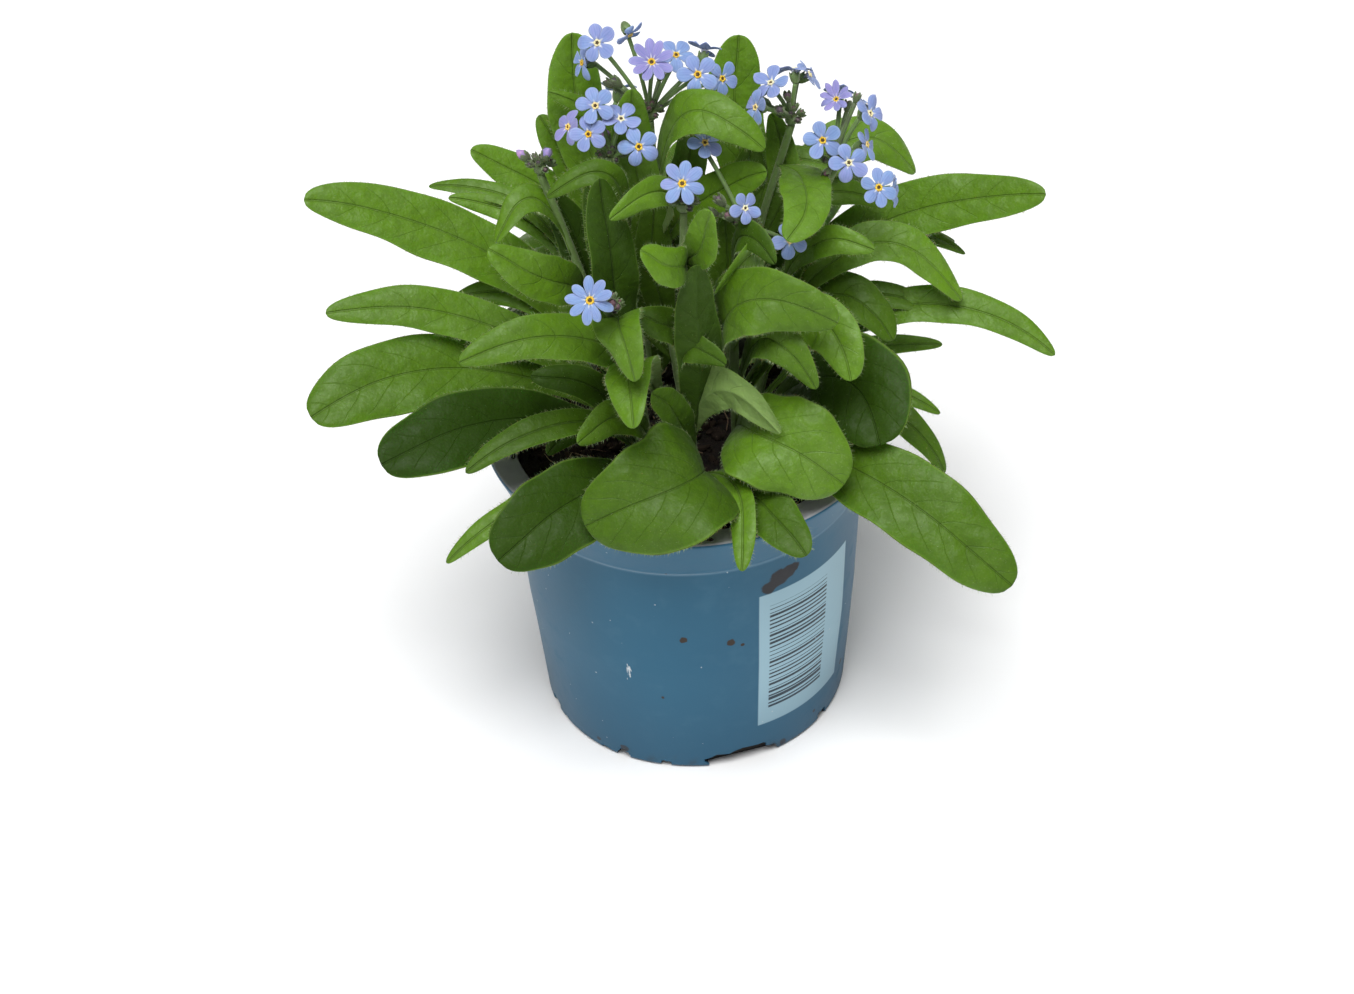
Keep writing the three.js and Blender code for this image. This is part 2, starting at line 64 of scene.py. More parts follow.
# How far crumbs and roots lie from the pot's axis, the level of the soil's top, and the radii
# between which crumbs lie on the lip
CRUMB_REACH, ROOT_REACH, SOIL_WALL = 43, 41, 43.5
SOIL_LEVEL = 77.1
LIP_START, LIP_END = 45.5, 50.5

Leaf = namedtuple("Leaf", "stem height turn reach share crest tip_z bow width roll bend tone")
Flower = namedtuple("Flower", "x y z azimuth lift radius petals lilac")

# Stems: foot x, y, a point on the way x, y, z, and the top x, y, z
STEMS = {
    "left": (-13, -2, -24, 2, 130, -33, 6, 160),
    "front_left": (-9, -13, -13, -10, 130, -15, -4, 168),
    "front": (2, -17, 1, -20, 130, 2, -19, 163),
    "front_right": (13, -10, 14, -11, 130, 17, -12, 152),
    "right": (17, 2, 27, 4, 125, 40, 5, 158),
    "back_right": (9, 15, 20, 15, 130, 30, 14, 166),
    "back_left": (-7, 15, -12, 24, 125, -19, 32, 150),
    "centre": (1, 1, -4, 3, 130, -5, 6, 174),
    "low_left": (-1, -7, -8, -18, 115, -17, -32, 143),
    "far_right": (20, 19, 34, 30, 120, 44, 38, 142),
}

# Leaves by stem: height on the stem, compass turn, reach, share of the reach at mid leaf,
# height at mid leaf, height at the tip, sideways bow, width, roll, fullness towards the tip,
# and how light the green is, from 0 to 1
LEAVES = {
    "left": [
        (100, 177, 79, 0.65, 148, 158, -5, 16, -40, 1.3, 0.82),
        (92, -174, 76, 0.63, 128, 132, -1, 12, -45, 1.3, 0.73),
        (85, -163, 84, 0.68, 116, 112, -4, 20, -40, 1.9, 0.53),
        (84, -151, 72, 0.68, 106, 104, 1, 20, -35, 1.7, 0),
        (128, -157, 36, 0.52, 139, 153, 3, 12, -60, 1.2, 0.89),
        (96, 172, 45, 0.71, 126, 125, -2, 8, -40, 1.4, 0.72),
        (118, 160, 41, 0.62, 120, 119, -8, 11, -40, 1.3, 0.23),
        (130, 156, 54, 0.67, 148, 149, -4, 6, -25, 1.2, 0.7),
        (138, -173, 32, 0.7, 155, 148, -7, 8, -30, 1.2, 0.79),
        (108, 153, 21, 0.6, 134, 154, -2, 11, -60, 1.3, 0.06),
        (126, 160, 47, 0.7, 144, 149, -5, 6, -40, 1.3, 1),
    ],
    "low_left": [
        (96, -145, 64, 0.73, 141, 139, 5, 12, -50, 1.3, 0.67),
        (120, -103, 46, 0.85, 145, 137, -4, 12, 20, 1.2, 0.7),
        (100, -103, 50, 0.86, 130, 126, -2, 12, 15, 1.3, 0.86),
    ],
    "front_left": [
        (80, -148, 54, 0.63, 111, 104, 3, 8, -30, 1.3, 0.33),
        (80, -143, 65, 0.76, 94, 84, 4, 7, -20, 1.3, 0.74),
        (80, -133, 57, 0.67, 93, 86, 5, 22, -40, 1.7, 0.06),
        (80, -125, 31, 0.71, 110, 109, 2, 10, -60, 1.2, 0.6),
        (140, -172, 22, 0.49, 172, 167, 0, 7, -40, 1.2, 0.45),
        (92, -166, 30, 0.65, 114, 117, 2, 9, -45, 1.2, 0.08),
        (82, -150, 30, 0.74, 101, 98, -2, 7, -43, 1.3, 0.15),
        (112, -150, 10, 1.02, 155, 173, 2, 12, -100, 1.3, 0.14),
    ],
    "front": [
        (81, -128, 45, 0.62, 103, 94, 16, 31, -32, 1.2, 0.37),
        (80, -77, 46, 0.79, 93, 85, 3, 7, 25, 1.8, 0.83),
        (80, -58, 50, 0.8, 91, 87, 0, 13, 26, 1.5, 0.32),
        (94, -46, 31, 0.46, 116, 110, -2, 12, -95, 1.1, 0.83),
        (149, -119, 22, 0.76, 158, 164, 5, 10, -80, 1.2, 1),
        (149, -66, 16, 0.84, 163, 171, -1, 10, 105, 1.2, 1),
        (118, -137, 17, 0.53, 134, 140, 2, 9, -78, 1.3, 0.26),
        (106, -59, 17, 0.63, 128, 126, -3, 8, 65, 1.3, 0.27),
        (86, -115, 23, 0.7, 115, 123, 1, 9, -102, 1.3, 0.53),
        (92, -78, 12, 0.7, 122, 154, 0, 12, 0, 1.2, 0.14),
    ],
    "front_right": [
        (90, -52, 42, 0.66, 106, 96, -9, 26, 33, 1.35, 0.8),
        (98, -46, 36, 0.63, 145, 140, -8, 17, 62, 1.3, 0.62),
        (92, -55, 34, 0.82, 130, 122, -2, 11, 55, 1.2, 0.53),
        (116, -106, 16, 0.6, 149, 143, 6, 10, -90, 1.2, 0.95),
        (132, -58, 20, 0.64, 156, 152, -1, 8, 60, 1.2, 0.21),
        (96, -40, 37, 0.86, 129, 121, 3, 14, 50, 1.4, 0.94),
    ],
    "right": [
        (82, -43, 86, 0.72, 88, 72, -7, 21, 35, 1.5, 0.49),
        (82, -49, 48, 0.75, 108, 101, 5, 26, 40, 1.6, 0.04),
        (82, -24, 54, 0.85, 92, 80, 1, 8, 35, 1.3, 0.38), (82, -8, 50, 0.86, 92, 88, 1, 6, 30, 1.2, 0.59),
        (88, -6, 79, 0.75, 116, 106, 6, 10, 40, 1.3, 0.81),
        (96, 2, 49, 0.77, 118, 113, 4, 8, 30, 1.3, 0.5), (112, -2, 55, 0.69, 134, 120, 5, 11, 40, 1.2, 1),
        (124, -20, 34, 0.69, 144, 143, 0, 8, 55, 1.2, 1),
        (98, -15, 38, 0.79, 122, 114, 4, 13, 30, 1.3, 0.39),
    ],
    "back_right": [
        (100, -3, 85, 0.74, 138, 144, 7, 15, 45, 1.3, 0.76),
        (104, 4, 66, 0.84, 126, 121, 4, 6, 30, 1.2, 0.55),
        (120, 14, 55, 0.86, 150, 141, 2, 13, 40, 1.2, 1),
        (130, 56, 16, 0.8, 168, 184, -1, 15, 30, 1.4, 1),
        (125, 5, 32, 0.74, 152, 150, 3, 8, 30, 1.2, 0.95),
        (88, 120, 12, 0.6, 120, 152, 0, 13, -25, 1.2, 0.49),
        (100, 20, 12, 0.6, 128, 158, 0, 12, 75, 1.2, 0.32),
        (154, -65, 42, 0.64, 158, 156, 14, 13, -7, 1, 1),
        (128, 17, 17, 1.11, 156, 166, -3, 9, 56, 1.3, 0.7),
        (112, 6, 45, 0.8, 142, 137, 1, 8, 45, 1.3, 0.52), (92, 1, 60, 0.81, 96, 95, 0, 6, 43, 1.3, 0.93),
    ],
    "back_left": [
        (120, 142, 21, 0.94, 170, 187, 1, 15, -46, 1.5, 1),
        (118, 169, 45, 0.81, 151, 157, -2, 11, -35, 1.4, 1),
        (110, 152, 30, 0.82, 155, 163, 0, 11, -40, 1.3, 0.7),
        (88, -10, 9, 0.6, 114, 142, 0, 13, 105, 1.2, 0.43),
        (116, 168, 24, 0.69, 171, 175, -2, 6, -50, 1.3, 0.8),
    ],
    "centre": [
        (120, 180, 10, 1.05, 168, 186, 0, 12, -90, 1.3, 0.9),
        (104, 177, 19, 0.9, 140, 166, -2, 13, -72, 1.2, 0.32),
        (145, -28, 24, 0.5, 182, 174, -2, 12, 40, 1.2, 0.88),
        (138, -25, 24, 0.67, 163, 167, 0, 11, 65, 1.2, 0.82),
        (140, -124, 30, 0.75, 168, 165, 4, 8, -60, 1.2, 0.95),
        (110, -170, 6, 1.1, 138, 156, 0, 10, -90, 1.2, 0.42),
        (100, -20, 12, 0.9, 130, 150, 0, 10, 100, 1.2, 0.52),
        (128, 72, 14, 0.54, 158, 169, 0, 10, 0, 1.3, 0.45),
    ],
}

# Leaves of the far side by stem: turn, height, reach, width
FAR_LEAVES = {
    "back_left": [
        (100, 82, 62, 19), (128, 84, 58, 18), (76, 86, 56, 18), (150, 90, 46, 12), (112, 98, 51, 12),
        (72, 115, 30, 11), (55, 120, 38, 10),
    ],
    "far_right": [
        (62, 82, 60, 19), (26, 89, 57, 18), (88, 86, 52, 17), (11, 93, 54, 12), (53, 112, 37, 12),
        (31, 110, 35, 11),
    ],
    "left": [(144, 89, 44, 14)],
}

# Small inner leaves beside the stems: turn, height, reach
INNER_LEAVES = {
    "left": [(215, 104, 17)],
    "front_left": [(215, 100, 18)],
    "front_right": [(330, 100, 16)],
    "right": [(20, 104, 16)],
    "back_right": [(100, 104, 18)],
    "back_left": [(120, 100, 17)],
    "far_right": [(60, 98, 18)],
}

# Flowers by stem: x, y, z, azimuth and lift of the face, radius, petals, share of lilac
FLOWERS = {
    "centre": [
        (-17, 10, 194, -100, 40, 5.2, 5, 0), (-21, 13, 187, -160, 20, 4.6, 5, 0),
        (-9, 8, 197, -60, -35, 4.2, 5, 0), (-4, 3, 192, -95, 50, 5.8, 9, 1),
        (2, 11, 189, -70, 60, 5, 5, 0), (7, 3, 188, -88, 38, 5.4, 5, 0), (13, 9, 183, -50, 30, 4.8, 5, 0),
        (9, 15, 188, 70, 45, 4.6, 5, 0),
    ],
    "front_left": [
        (-18, -6, 186, -95, 40, 5, 5, 0), (-20, -9, 180, -100, 30, 4.8, 5, 0.2),
        (-25, -2, 178, -150, 30, 4.8, 5, 0.8), (-12, -6, 182, -70, 62, 5, 5, 0),
        (-8, -11, 177, -85, 32, 5.2, 5, 0),
    ],
    "back_right": [
        (25, 11, 180, -140, 65, 5, 5, 0), (31, 17, 180, 95, 52, 5, 5, 0), (35, 21, 176, 0, 30, 4.8, 5, 0),
        (21, 8, 175, -150, 25, 4.8, 5, 0), (22, 15, 173, 150, 20, 4.8, 5, 0),
    ],
    "right": [
        (41, 10, 175, -120, 60, 4.4, 9, 0.9), (49, 6, 173, -30, 35, 5, 5, 0),
        (37, 1, 169, -100, 36, 5.2, 5, 0), (43, -5, 166, -88, 36, 5.2, 5, 0.05),
        (48, 3, 166, -20, 20, 4.6, 5, 0), (50, -9, 161, -75, 36, 5.2, 6, 0),
        (54, -3, 156, -20, 10, 4.4, 5, 0),
    ],
    "front": [(2, -22, 173, -88, 42, 5.8, 7, 0)],
    "low_left": [(-21, -46, 157, -98, 38, 6, 9, 0)],
    "front_right": [
        (8, -4, 173, -80, 50, 4.8, 5, 0), (17, -17, 162, -60, 25, 4.4, 5, 0),
        (28, -11, 148, -80, 35, 5, 5, 0),
    ],
    "back_left": [(-22, 38, 163, 110, 40, 5, 5, 0), (-13, 37, 165, 70, 50, 5, 5, 0)],
    "far_right": [(44, 45, 156, 80, 40, 5, 5, 0), (51, 41, 154, 30, 40, 5, 5, 0)],
}

# Buds by stem: x, y, z, length, and how far the colour shows, from 0 (closed and dark) to 1
BUDS = {
    "left": [(-31, 4, 167, 4.6, 0.7), (-37, 7, 165, 4.2, 0.9)],
    "front_left": [(-16, -2, 175, 4, 1), (-13, -2, 171, 3.6, 0.3)],
    "centre": [(-13, 8, 184, 4, 0.15), (-15, 11, 182, 3.4, 0.15), (-2, 12, 183, 3.2, 0.15)],
    "back_right": [(27, 8, 174, 3.6, 0.15), (29, 11, 176, 3.4, 0.15)],
    "right": [
        (44, 12, 172, 3.6, 0.15), (46, 9, 176, 3.2, 0.15), (36, 6, 162, 3.6, 0.15),
        (38, 2, 159, 3.4, 0.15),
    ],
    "front_right": [(11, -13, 162, 4.2, 0.15), (13, -14, 158, 4, 0.15), (9, -12, 158, 3.4, 0.15)],
    "low_left": [(-16, -42, 153, 3.8, 0.15), (-15, -39, 150, 3.2, 0.15)],
    "back_left": [(-18, 30, 160, 3.6, 0.15)],
    "far_right": [(46, 36, 152, 3.6, 0.15)],
}


# Shapes


def unit(vectors):
    """The vectors at length 1."""
    return vectors / np.maximum(np.linalg.norm(vectors, axis=-1, keepdims=True), 1e-9)


def ease(values, low, high):
    """Smooth step: 0 up to low, 1 from high, 3x^2 - 2x^3 between them."""
    x = np.clip((np.asarray(values, float) - low) / (high - low), 0, 1)
    return x * x * (3 - 2 * x)


def heading(azimuth, lift):
    """Direction at an azimuth and a lift over the horizon."""
    a, b = np.radians(azimuth), np.radians(lift)
    return np.array([np.cos(a) * np.cos(b), np.sin(a) * np.cos(b), np.sin(b)])


def circle(count):
    """Even angles once round."""
    return np.arange(count) * 2 * np.pi / count


def spokes(angles, side, up):
    """Directions at the given angles in the plane of side and up."""
    return np.cos(angles)[..., None] * side + np.sin(angles)[..., None] * up


def square_to(axis):
    """Two directions square to the axis and to each other."""
    side = unit(np.cross([0.31, 0.95, 0.02], axis))
    return side, np.cross(axis, side)


class Shape:
    """Points, faces, map places and tints of one piece while it is put together."""

    def __init__(self):
        self.points, self.faces, self.slots = [], [], []
        self.maps, self.tints, self.places = [], [], []
        self.count = 0

    def add(self, points, faces, tint=(0, 0, 0), place=(0, 0, 0), uv=(0, 0), slot=0):
        n = len(points)
        self.points.append(points)
        for face in faces:
            self.faces.append(face + self.count)
            self.slots.append(np.full(len(face), slot))
        for store, value, size in (
            (self.tints, tint, 3), (self.places, place, 3), (self.maps, uv, 2),
        ):
            store.append(np.broadcast_to(np.asarray(value, float), (n, size)))
        self.count += n

    def add_rings(self, rings, slot=0, tint=(0, 0, 0), place=(0, 0, 0), uv=(0, 0), ring_closed=False):
        """Skins bodies given as rings[body, row, column]: neighbouring rows and columns are joined
        by quads, columns run round, and the first and last ring close on their mean point."""
        bodies, rows, columns = rings.shape[:3]
        size = rows * columns
        i, j = np.meshgrid(np.arange(rows if ring_closed else rows - 1), np.arange(columns), indexing="ij")
        k, n = (j + 1) % columns, (i + 1) % rows
        quads = np.stack([i * columns + j, i * columns + k, n * columns + k, n * columns + j], -1)
        start = (np.arange(bodies) * size)[:, None, None]
        faces = [(quads.reshape(1, -1, 4) + start).reshape(-1, 4)]
        extras = [rings.reshape(-1, 3)]
        spread = []
        for value, width in ((tint, 3), (place, 3), (uv, 2)):
            value = np.broadcast_to(np.asarray(value, float), (bodies, rows, columns, width))
            flat = [value.reshape(-1, width)]
            if not ring_closed:
                flat += [value[:, 0].mean(1), value[:, -1].mean(1)]
            spread.append(np.concatenate(flat))
        if not ring_closed:
            extras += [rings[:, 0].mean(1), rings[:, -1].mean(1)]
            j = np.arange(columns)[None, :]
            k = (j + 1) % columns
            body = np.arange(bodies)[:, None]
            first = bodies * size + body + 0 * j
            last = bodies * size + bodies + body + 0 * j
            end = body * size + (rows - 1) * columns
            faces.append(np.stack([first, body * size + k, body * size + j], -1).reshape(-1, 3))
            faces.append(np.stack([last, end + j, end + k], -1).reshape(-1, 3))
        self.add(np.concatenate(extras), faces, *spread, slot=slot)

    def add_tube(self, path, radii, sides, slot, tint=(0, 0, 0), uv=(0, 0)):
        """Circle carried along a path: P(i, a) = path_i + r_i (cos a side_i + sin a front_i)."""
        side, front = square_to(unit(np.gradient(path, axis=0)))
        out = spokes(circle(sides), side[:, None], front[:, None])
        rings = path[:, None] + np.asarray(radii, float)[:, None, None] * out
        self.add_rings(rings[None], slot, tint, uv=uv)

    def add_hairs(self, base, lean, length, slot, width=0.03):
        """Three-sided spikes, base_i + width (cos a, sin a) about the lean, tip at base + length lean."""
        lean = unit(lean)
        side = unit(np.cross(lean, lean[:, [1, 2, 0]] + 0.3))
        out = spokes(circle(3), side[:, None], np.cross(lean, side)[:, None])
        tip = base + lean * np.asarray(length)[:, None]
        points = np.concatenate([base[:, None] + width * out, tip[:, None]], 1).reshape(-1, 3)
        sides = np.array([[0, 1, 3], [1, 2, 3], [2, 0, 3]])
        faces = (sides[None] + 4 * np.arange(len(base))[:, None, None]).reshape(-1, 3)
        self.add(points, [faces], slot=slot)

    def mesh(self, name, flat_slots=()):
        """Puts the arrays into a mesh in metres, with map 'surface' and colours 'tint' and 'place'."""
        points = np.concatenate(self.points) * MM
        corners = np.concatenate([face.ravel() for face in self.faces])
        sizes = np.concatenate([np.full(len(face), face.shape[1]) for face in self.faces])
        slots = np.concatenate(self.slots)
        mesh = bpy.data.meshes.new(name)
        mesh.vertices.add(len(points))
        mesh.vertices.foreach_set("co", points.astype(np.float32).ravel())
        mesh.loops.add(len(corners))
        mesh.loops.foreach_set("vertex_index", corners.astype(np.int32))
        mesh.polygons.add(len(sizes))
        starts = np.concatenate([[0], np.cumsum(sizes)[:-1]])
        mesh.polygons.foreach_set("loop_start", starts.astype(np.int32))
        mesh.polygons.foreach_set("material_index", slots.astype(np.int32))
        mesh.polygons.foreach_set("use_smooth", ~np.isin(slots, flat_slots))
        uv = np.concatenate(self.maps)[corners]
        mesh.uv_layers.new(name="surface").data.foreach_set("uv", uv.astype(np.float32).ravel())
        for label, store in (("tint", self.tints), ("place", self.places)):
            values = np.concatenate(store)
            values = np.concatenate([values, np.ones((len(values), 1))], 1)
            layer = mesh.attributes.new(label, "FLOAT_COLOR", "POINT")
            layer.data.foreach_set("color", values.astype(np.float32).ravel())
        mesh.update(calc_edges=True)
        mesh.validate()
        return mesh


def link_object(name, data):
    """Puts a new object with this data into the scene."""
    item = bpy.data.objects.new(name, data)
    bpy.context.scene.collection.objects.link(item)
    return item


def place_piece(mesh, materials, slot, *nodes):
    """Links a finished mesh as a piece that rides on the plant's body and stands for CAD nodes."""
    for material in materials:
        mesh.materials.append(material)
    piece = link_object(mesh.name, mesh)
    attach(piece, "root")
    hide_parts(*nodes)


# Stems and leaves


def stem_curve(name, t):
    """Centripetal Catmull-Rom curve through the stem's four points, at t from 0 to 1."""
    x, y, mx, my, mz, tx, ty, tz = STEMS[name]
    knots = np.array([(x, y, 69), (x, y, 78), (mx, my, mz), (tx, ty, tz)], float)
    knots = np.vstack([2 * knots[0] - knots[1], knots, 2 * knots[3] - knots[2]])
    steps = np.sqrt(np.linalg.norm(np.diff(knots, axis=0), axis=1))
    i = np.minimum((t * 3).astype(int), 2)
    w = (t * 3 - i)[:, None]
    p0, p1, p2, p3 = (knots[i + k] for k in range(4))
    d0, d1, d2 = (steps[i + k][:, None] for k in range(3))
    leave = ((p1 - p0) / d0 - (p2 - p0) / (d0 + d1) + (p2 - p1) / d1) * d1
    enter = ((p2 - p1) / d1 - (p3 - p1) / (d1 + d2) + (p3 - p2) / d2) * d1
    return (
        p1 + leave * w + (3 * p2 - 3 * p1 - 2 * leave - enter) * w**2
        + (2 * p1 - 2 * p2 + leave + enter) * w**3
    )


def stem_at(name, height):
    """Point of the stem at a height."""
    path = stem_curve(name, np.linspace(0, 1, 400))
    return np.array([np.interp(height, path[:, 2], path[:, axis]) for axis in range(3)])


def stem_leaves(stem):
    """All leaves of one stem: the tabled ones, the far side's rule and the inner one."""
    rows = list(LEAVES.get(stem, ()))
    for turn, height, reach, width in FAR_LEAVES.get(stem, ()):
        wave = np.sin(0.11 * turn + height)
        crest = height + 12 + 0.36 * reach + 4 * wave
        rows.append((height, turn, reach, 0.66, crest, crest - 0.1 * reach + 5 * wave, 3 * wave, width,
                     8 * wave, 1.4, 0.5 + 0.3 * wave))
    for turn, height, reach in INNER_LEAVES.get(stem, ()):
        rows.append((height, turn, reach, 0.6, height + 17, height + 26, 1, 9, 9, 1.3, 0.35))
    return [Leaf(stem, *row) for row in rows]


def leaf_line(leaf, t):
    """Middle line of a leaf: the quadratic through stem, mid leaf and tip, taken at t, with the
    blade's side and up directions rolled about it. Turn and reach are from the stem's foot."""
    out = heading(leaf.turn, 0)
    across = np.cross(UP, out)
    foot = np.array([*STEMS[leaf.stem][:2], 0.0])
    start = stem_at(leaf.stem, leaf.height) + 0.5 * out
    middle = foot + leaf.share * leaf.reach * out + leaf.bow * across
    tip = foot + leaf.reach * out
    middle[2], tip[2] = leaf.crest, leaf.tip_z
    lower = np.linalg.norm(middle - start)
    m = lower / (lower + np.linalg.norm(tip - middle))
    t = t[:, None]
    line = (
        start * (t - m) * (t - 1) / m + middle * t * (t - 1) / (m * (m - 1)) + tip * t * (t - m) / (1 - m)
    )
    along = unit(
        start * (2 * t - 1 - m) / m + middle * (2 * t - 1) / (m * (m - 1)) + tip * (2 * t - m) / (1 - m)
    )
    side = unit(across - (along @ across)[:, None] * along)
    up = np.cross(along, side)
    c, s = np.cos(np.radians(leaf.roll)), np.sin(np.radians(leaf.roll))
    return line, along, c * side + s * up, c * up - s * side


def leaf_length(leaf):
    """Length along the leaf's middle line."""
    line = leaf_line(leaf, np.linspace(0, 1, 12))[0]
    return np.linalg.norm(np.diff(line, axis=0), axis=1).sum()


def leaf_half_width(leaf, t):
    """A bent half sine, to the power 0.75 up to the widest place and 0.44 after it (0.37 in the
    broad, blunt leaves), and never narrower than the leaf's stalk but at the tip."""
    blunt = 0.44 - 0.07 * ease(leaf.width, 12.0, 20.0)
    power = np.where(t < 0.5 ** (1 / leaf.bend), 0.75, blunt)
    full = np.maximum(np.sin(np.pi * np.minimum(t, 1) ** leaf.bend), 0) ** power
    return np.maximum(leaf.width / 2 * full, 0.9 * (1 - ease(t, 0.9, 0.985)))


def leaf_side(leaf, t, s, seed):
    """Place across the blade: s times the half width, one half a little fuller than the other and
    the outline uneven by one part in fifty, on a middle line that sways by up to 0.7 mm."""
    w = leaf_half_width(leaf, t)
    fuller = 0.06 * np.sin(2 * np.pi * (1.2 * t + 3 * seed)) * s
    uneven = 0.02 * np.sin(2 * np.pi * (5 * t + seed) + 2 * np.sign(s)) * s**2
    sway = 0.7 * np.sin(2 * np.pi * (0.9 * t + 5 * seed)) * ease(t, 0.12, 0.4) * ease(1 - t, 0, 0.3)
    return s * w * (1 + fuller + uneven) + sway * np.minimum(w / 4, 1)


def leaf_lift(leaf, t, s, seed):
    """Height of the blade over its middle line: a keel that opens towards the tip, two swollen
    halves, margins that turn down near the tip, and a wave that grows with s squared."""
    w = leaf_half_width(leaf, t)
    turns = 0.8 + leaf_length(leaf) / 30
    wave = 0.085 * w * s**2 * np.sin(2 * np.pi * turns * t + seed * 9 + 1.9 * np.sign(s))
    keel = 0.14 * w * (1.9 - 1.3 * t) * (np.sqrt(s**2 + 0.012) - 0.11)
    swell = 0.16 * w * np.abs(s) * (1 - np.abs(s))
    curl = 0.12 * w * s**4 * ease(t, 0.4, 0.95)
    return keel + swell - curl + wave * ease(t, 0.2, 0.5)


def add_leaf(shape, leaf, seed, settings):
    """Blade: P(t, a) = line(t) + s w(t) side + (lift +- h) up, where s = cos a runs from margin to
    margin over the upper face and back under it, and h thins to nothing at the margins."""
    t = 1 - (1 - np.linspace(0, 0.9985, 42)) ** 1.5
    half = np.array([1, 0.965, 0.87, 0.72, 0.54, 0.36, 0.2, 0.075])
    top = np.concatenate([half, [0], -half[::-1]])
    s = np.concatenate([top, top[-2:0:-1]])
    under = np.arange(len(s)) >= len(top)
    line, _, side, up = leaf_line(leaf, t)
    t = t[:, None]
    w = leaf_half_width(leaf, t)
    stalk = 1 - ease(t, 0.05, 0.4)
    thick = (settings.thickness / MM / 2 + 0.25 * stalk) * np.sqrt(np.maximum(1 - s**2, 0))
    groove = 0.022 * w * np.exp(-((s / 0.09) ** 2))
    rib = (0.03 * w + 0.1) * np.exp(-((s / 0.1) ** 2))
    height = leaf_lift(leaf, t, s, seed) + np.where(under, -thick - rib, thick - groove)
    across = leaf_side(leaf, t, s, seed)
    rings = line[:, None] + across[..., None] * side[:, None] + height[..., None] * up[:, None]
    ones = np.ones_like(height)
    tint = np.stack([leaf.tone * ones, under * ones, seed * ones], -1)
    place = np.stack([t * ones, w * ones / 20, 0 * ones], -1)
    uv = np.stack([t * ones * leaf_length(leaf) / 100, s * ones / 2 + 0.5], -1)
    shape.add_rings(rings[None], 0, tint, place, uv)


def add_leaf_hairs(shape, leaf, seed, settings, rng):
    """Hairs: along both margins they stand square to the outline, on the faces they lean forwards."""
    length = leaf_length(leaf)
    count = int(2 * length / (settings.hair_gap / MM))
    edge = np.sort(rng.uniform(0.05, 0.985, count))
    flat = rng.uniform(0.05, 0.97, count // 2)
    t = np.concatenate([edge, flat])
    s = np.concatenate([rng.choice([-0.995, 0.995], count), rng.uniform(-0.9, 0.9, count // 2)])
    face = np.where(rng.random(len(t)) < 0.5, 1.0, -1.0)
    line, along, side, up = leaf_line(leaf, t)
    slope = (leaf_half_width(leaf, t + 0.004) - leaf_half_width(leaf, t)) / (0.004 * length)
    margin = np.arange(len(t)) < count
    thick = settings.thickness / MM / 2 * np.sqrt(1 - s**2) * face
    height = leaf_lift(leaf, t, s, seed) + thick * ~margin
    base = line + leaf_side(leaf, t, s, seed)[:, None] * side + height[:, None] * up
    outward = side * np.sign(s)[:, None] - along * np.clip(slope, -3, 3)[:, None]
    outward = outward + 0.35 * along + up * rng.normal(0, 0.35, len(t))[:, None]
    forward = up * face[:, None] + along * 0.7 + rng.normal(0, 0.25, (len(t), 3))
    lean = np.where(margin[:, None], outward, forward)
    longest = settings.hair_length / MM
    shape.add_hairs(base, lean, longest * rng.uniform(0.5, 1.15, len(t)) * np.where(margin, 1, 0.6), 2)


def add_stem(shape, stem, settings, rng):
    """Stem: a circle of radius 1.5 to 0.9 mm carried along the stem's curve, with standing hairs."""
    t = np.linspace(0, 1, 40)
    radii = (1.5 - 0.6 * t) * (1 + 0.07 * np.sin(17 * t + len(stem)))
    shape.add_tube(stem_curve(stem, t), radii, 12, 1, tint=(0.1 + 0.12 * (len(stem) % 3), 0, 0.5))
    count = 330
    t = rng.uniform(0.12, 1, count)
    along = unit(stem_curve(stem, np.minimum(t + 0.01, 1)) - stem_curve(stem, t - 0.01))
    out = spokes(rng.uniform(0, 2 * np.pi, count), *square_to(along))
    base = stem_curve(stem, t) + out * (1.5 - 0.5 * t)[:, None] * 0.95
    lengths = settings.hair_length / MM * rng.uniform(0.6, 1.3, count)
    shape.add_hairs(base, out + 0.25 * along, lengths, 2)


# Flowers


def face_axes(flower):
    """Centre of the flower, the way it faces, and two directions in its plane."""
    face = heading(flower.azimuth, flower.lift)
    side = unit(np.cross(UP, face))
    return np.array(flower[:3], float), face, side, np.cross(face, side)


def flower_age(flower):
    """How old a flower is, from 0 to 1, by its place."""
    return (0.37 * flower.x + 0.61 * flower.y) % 1.0


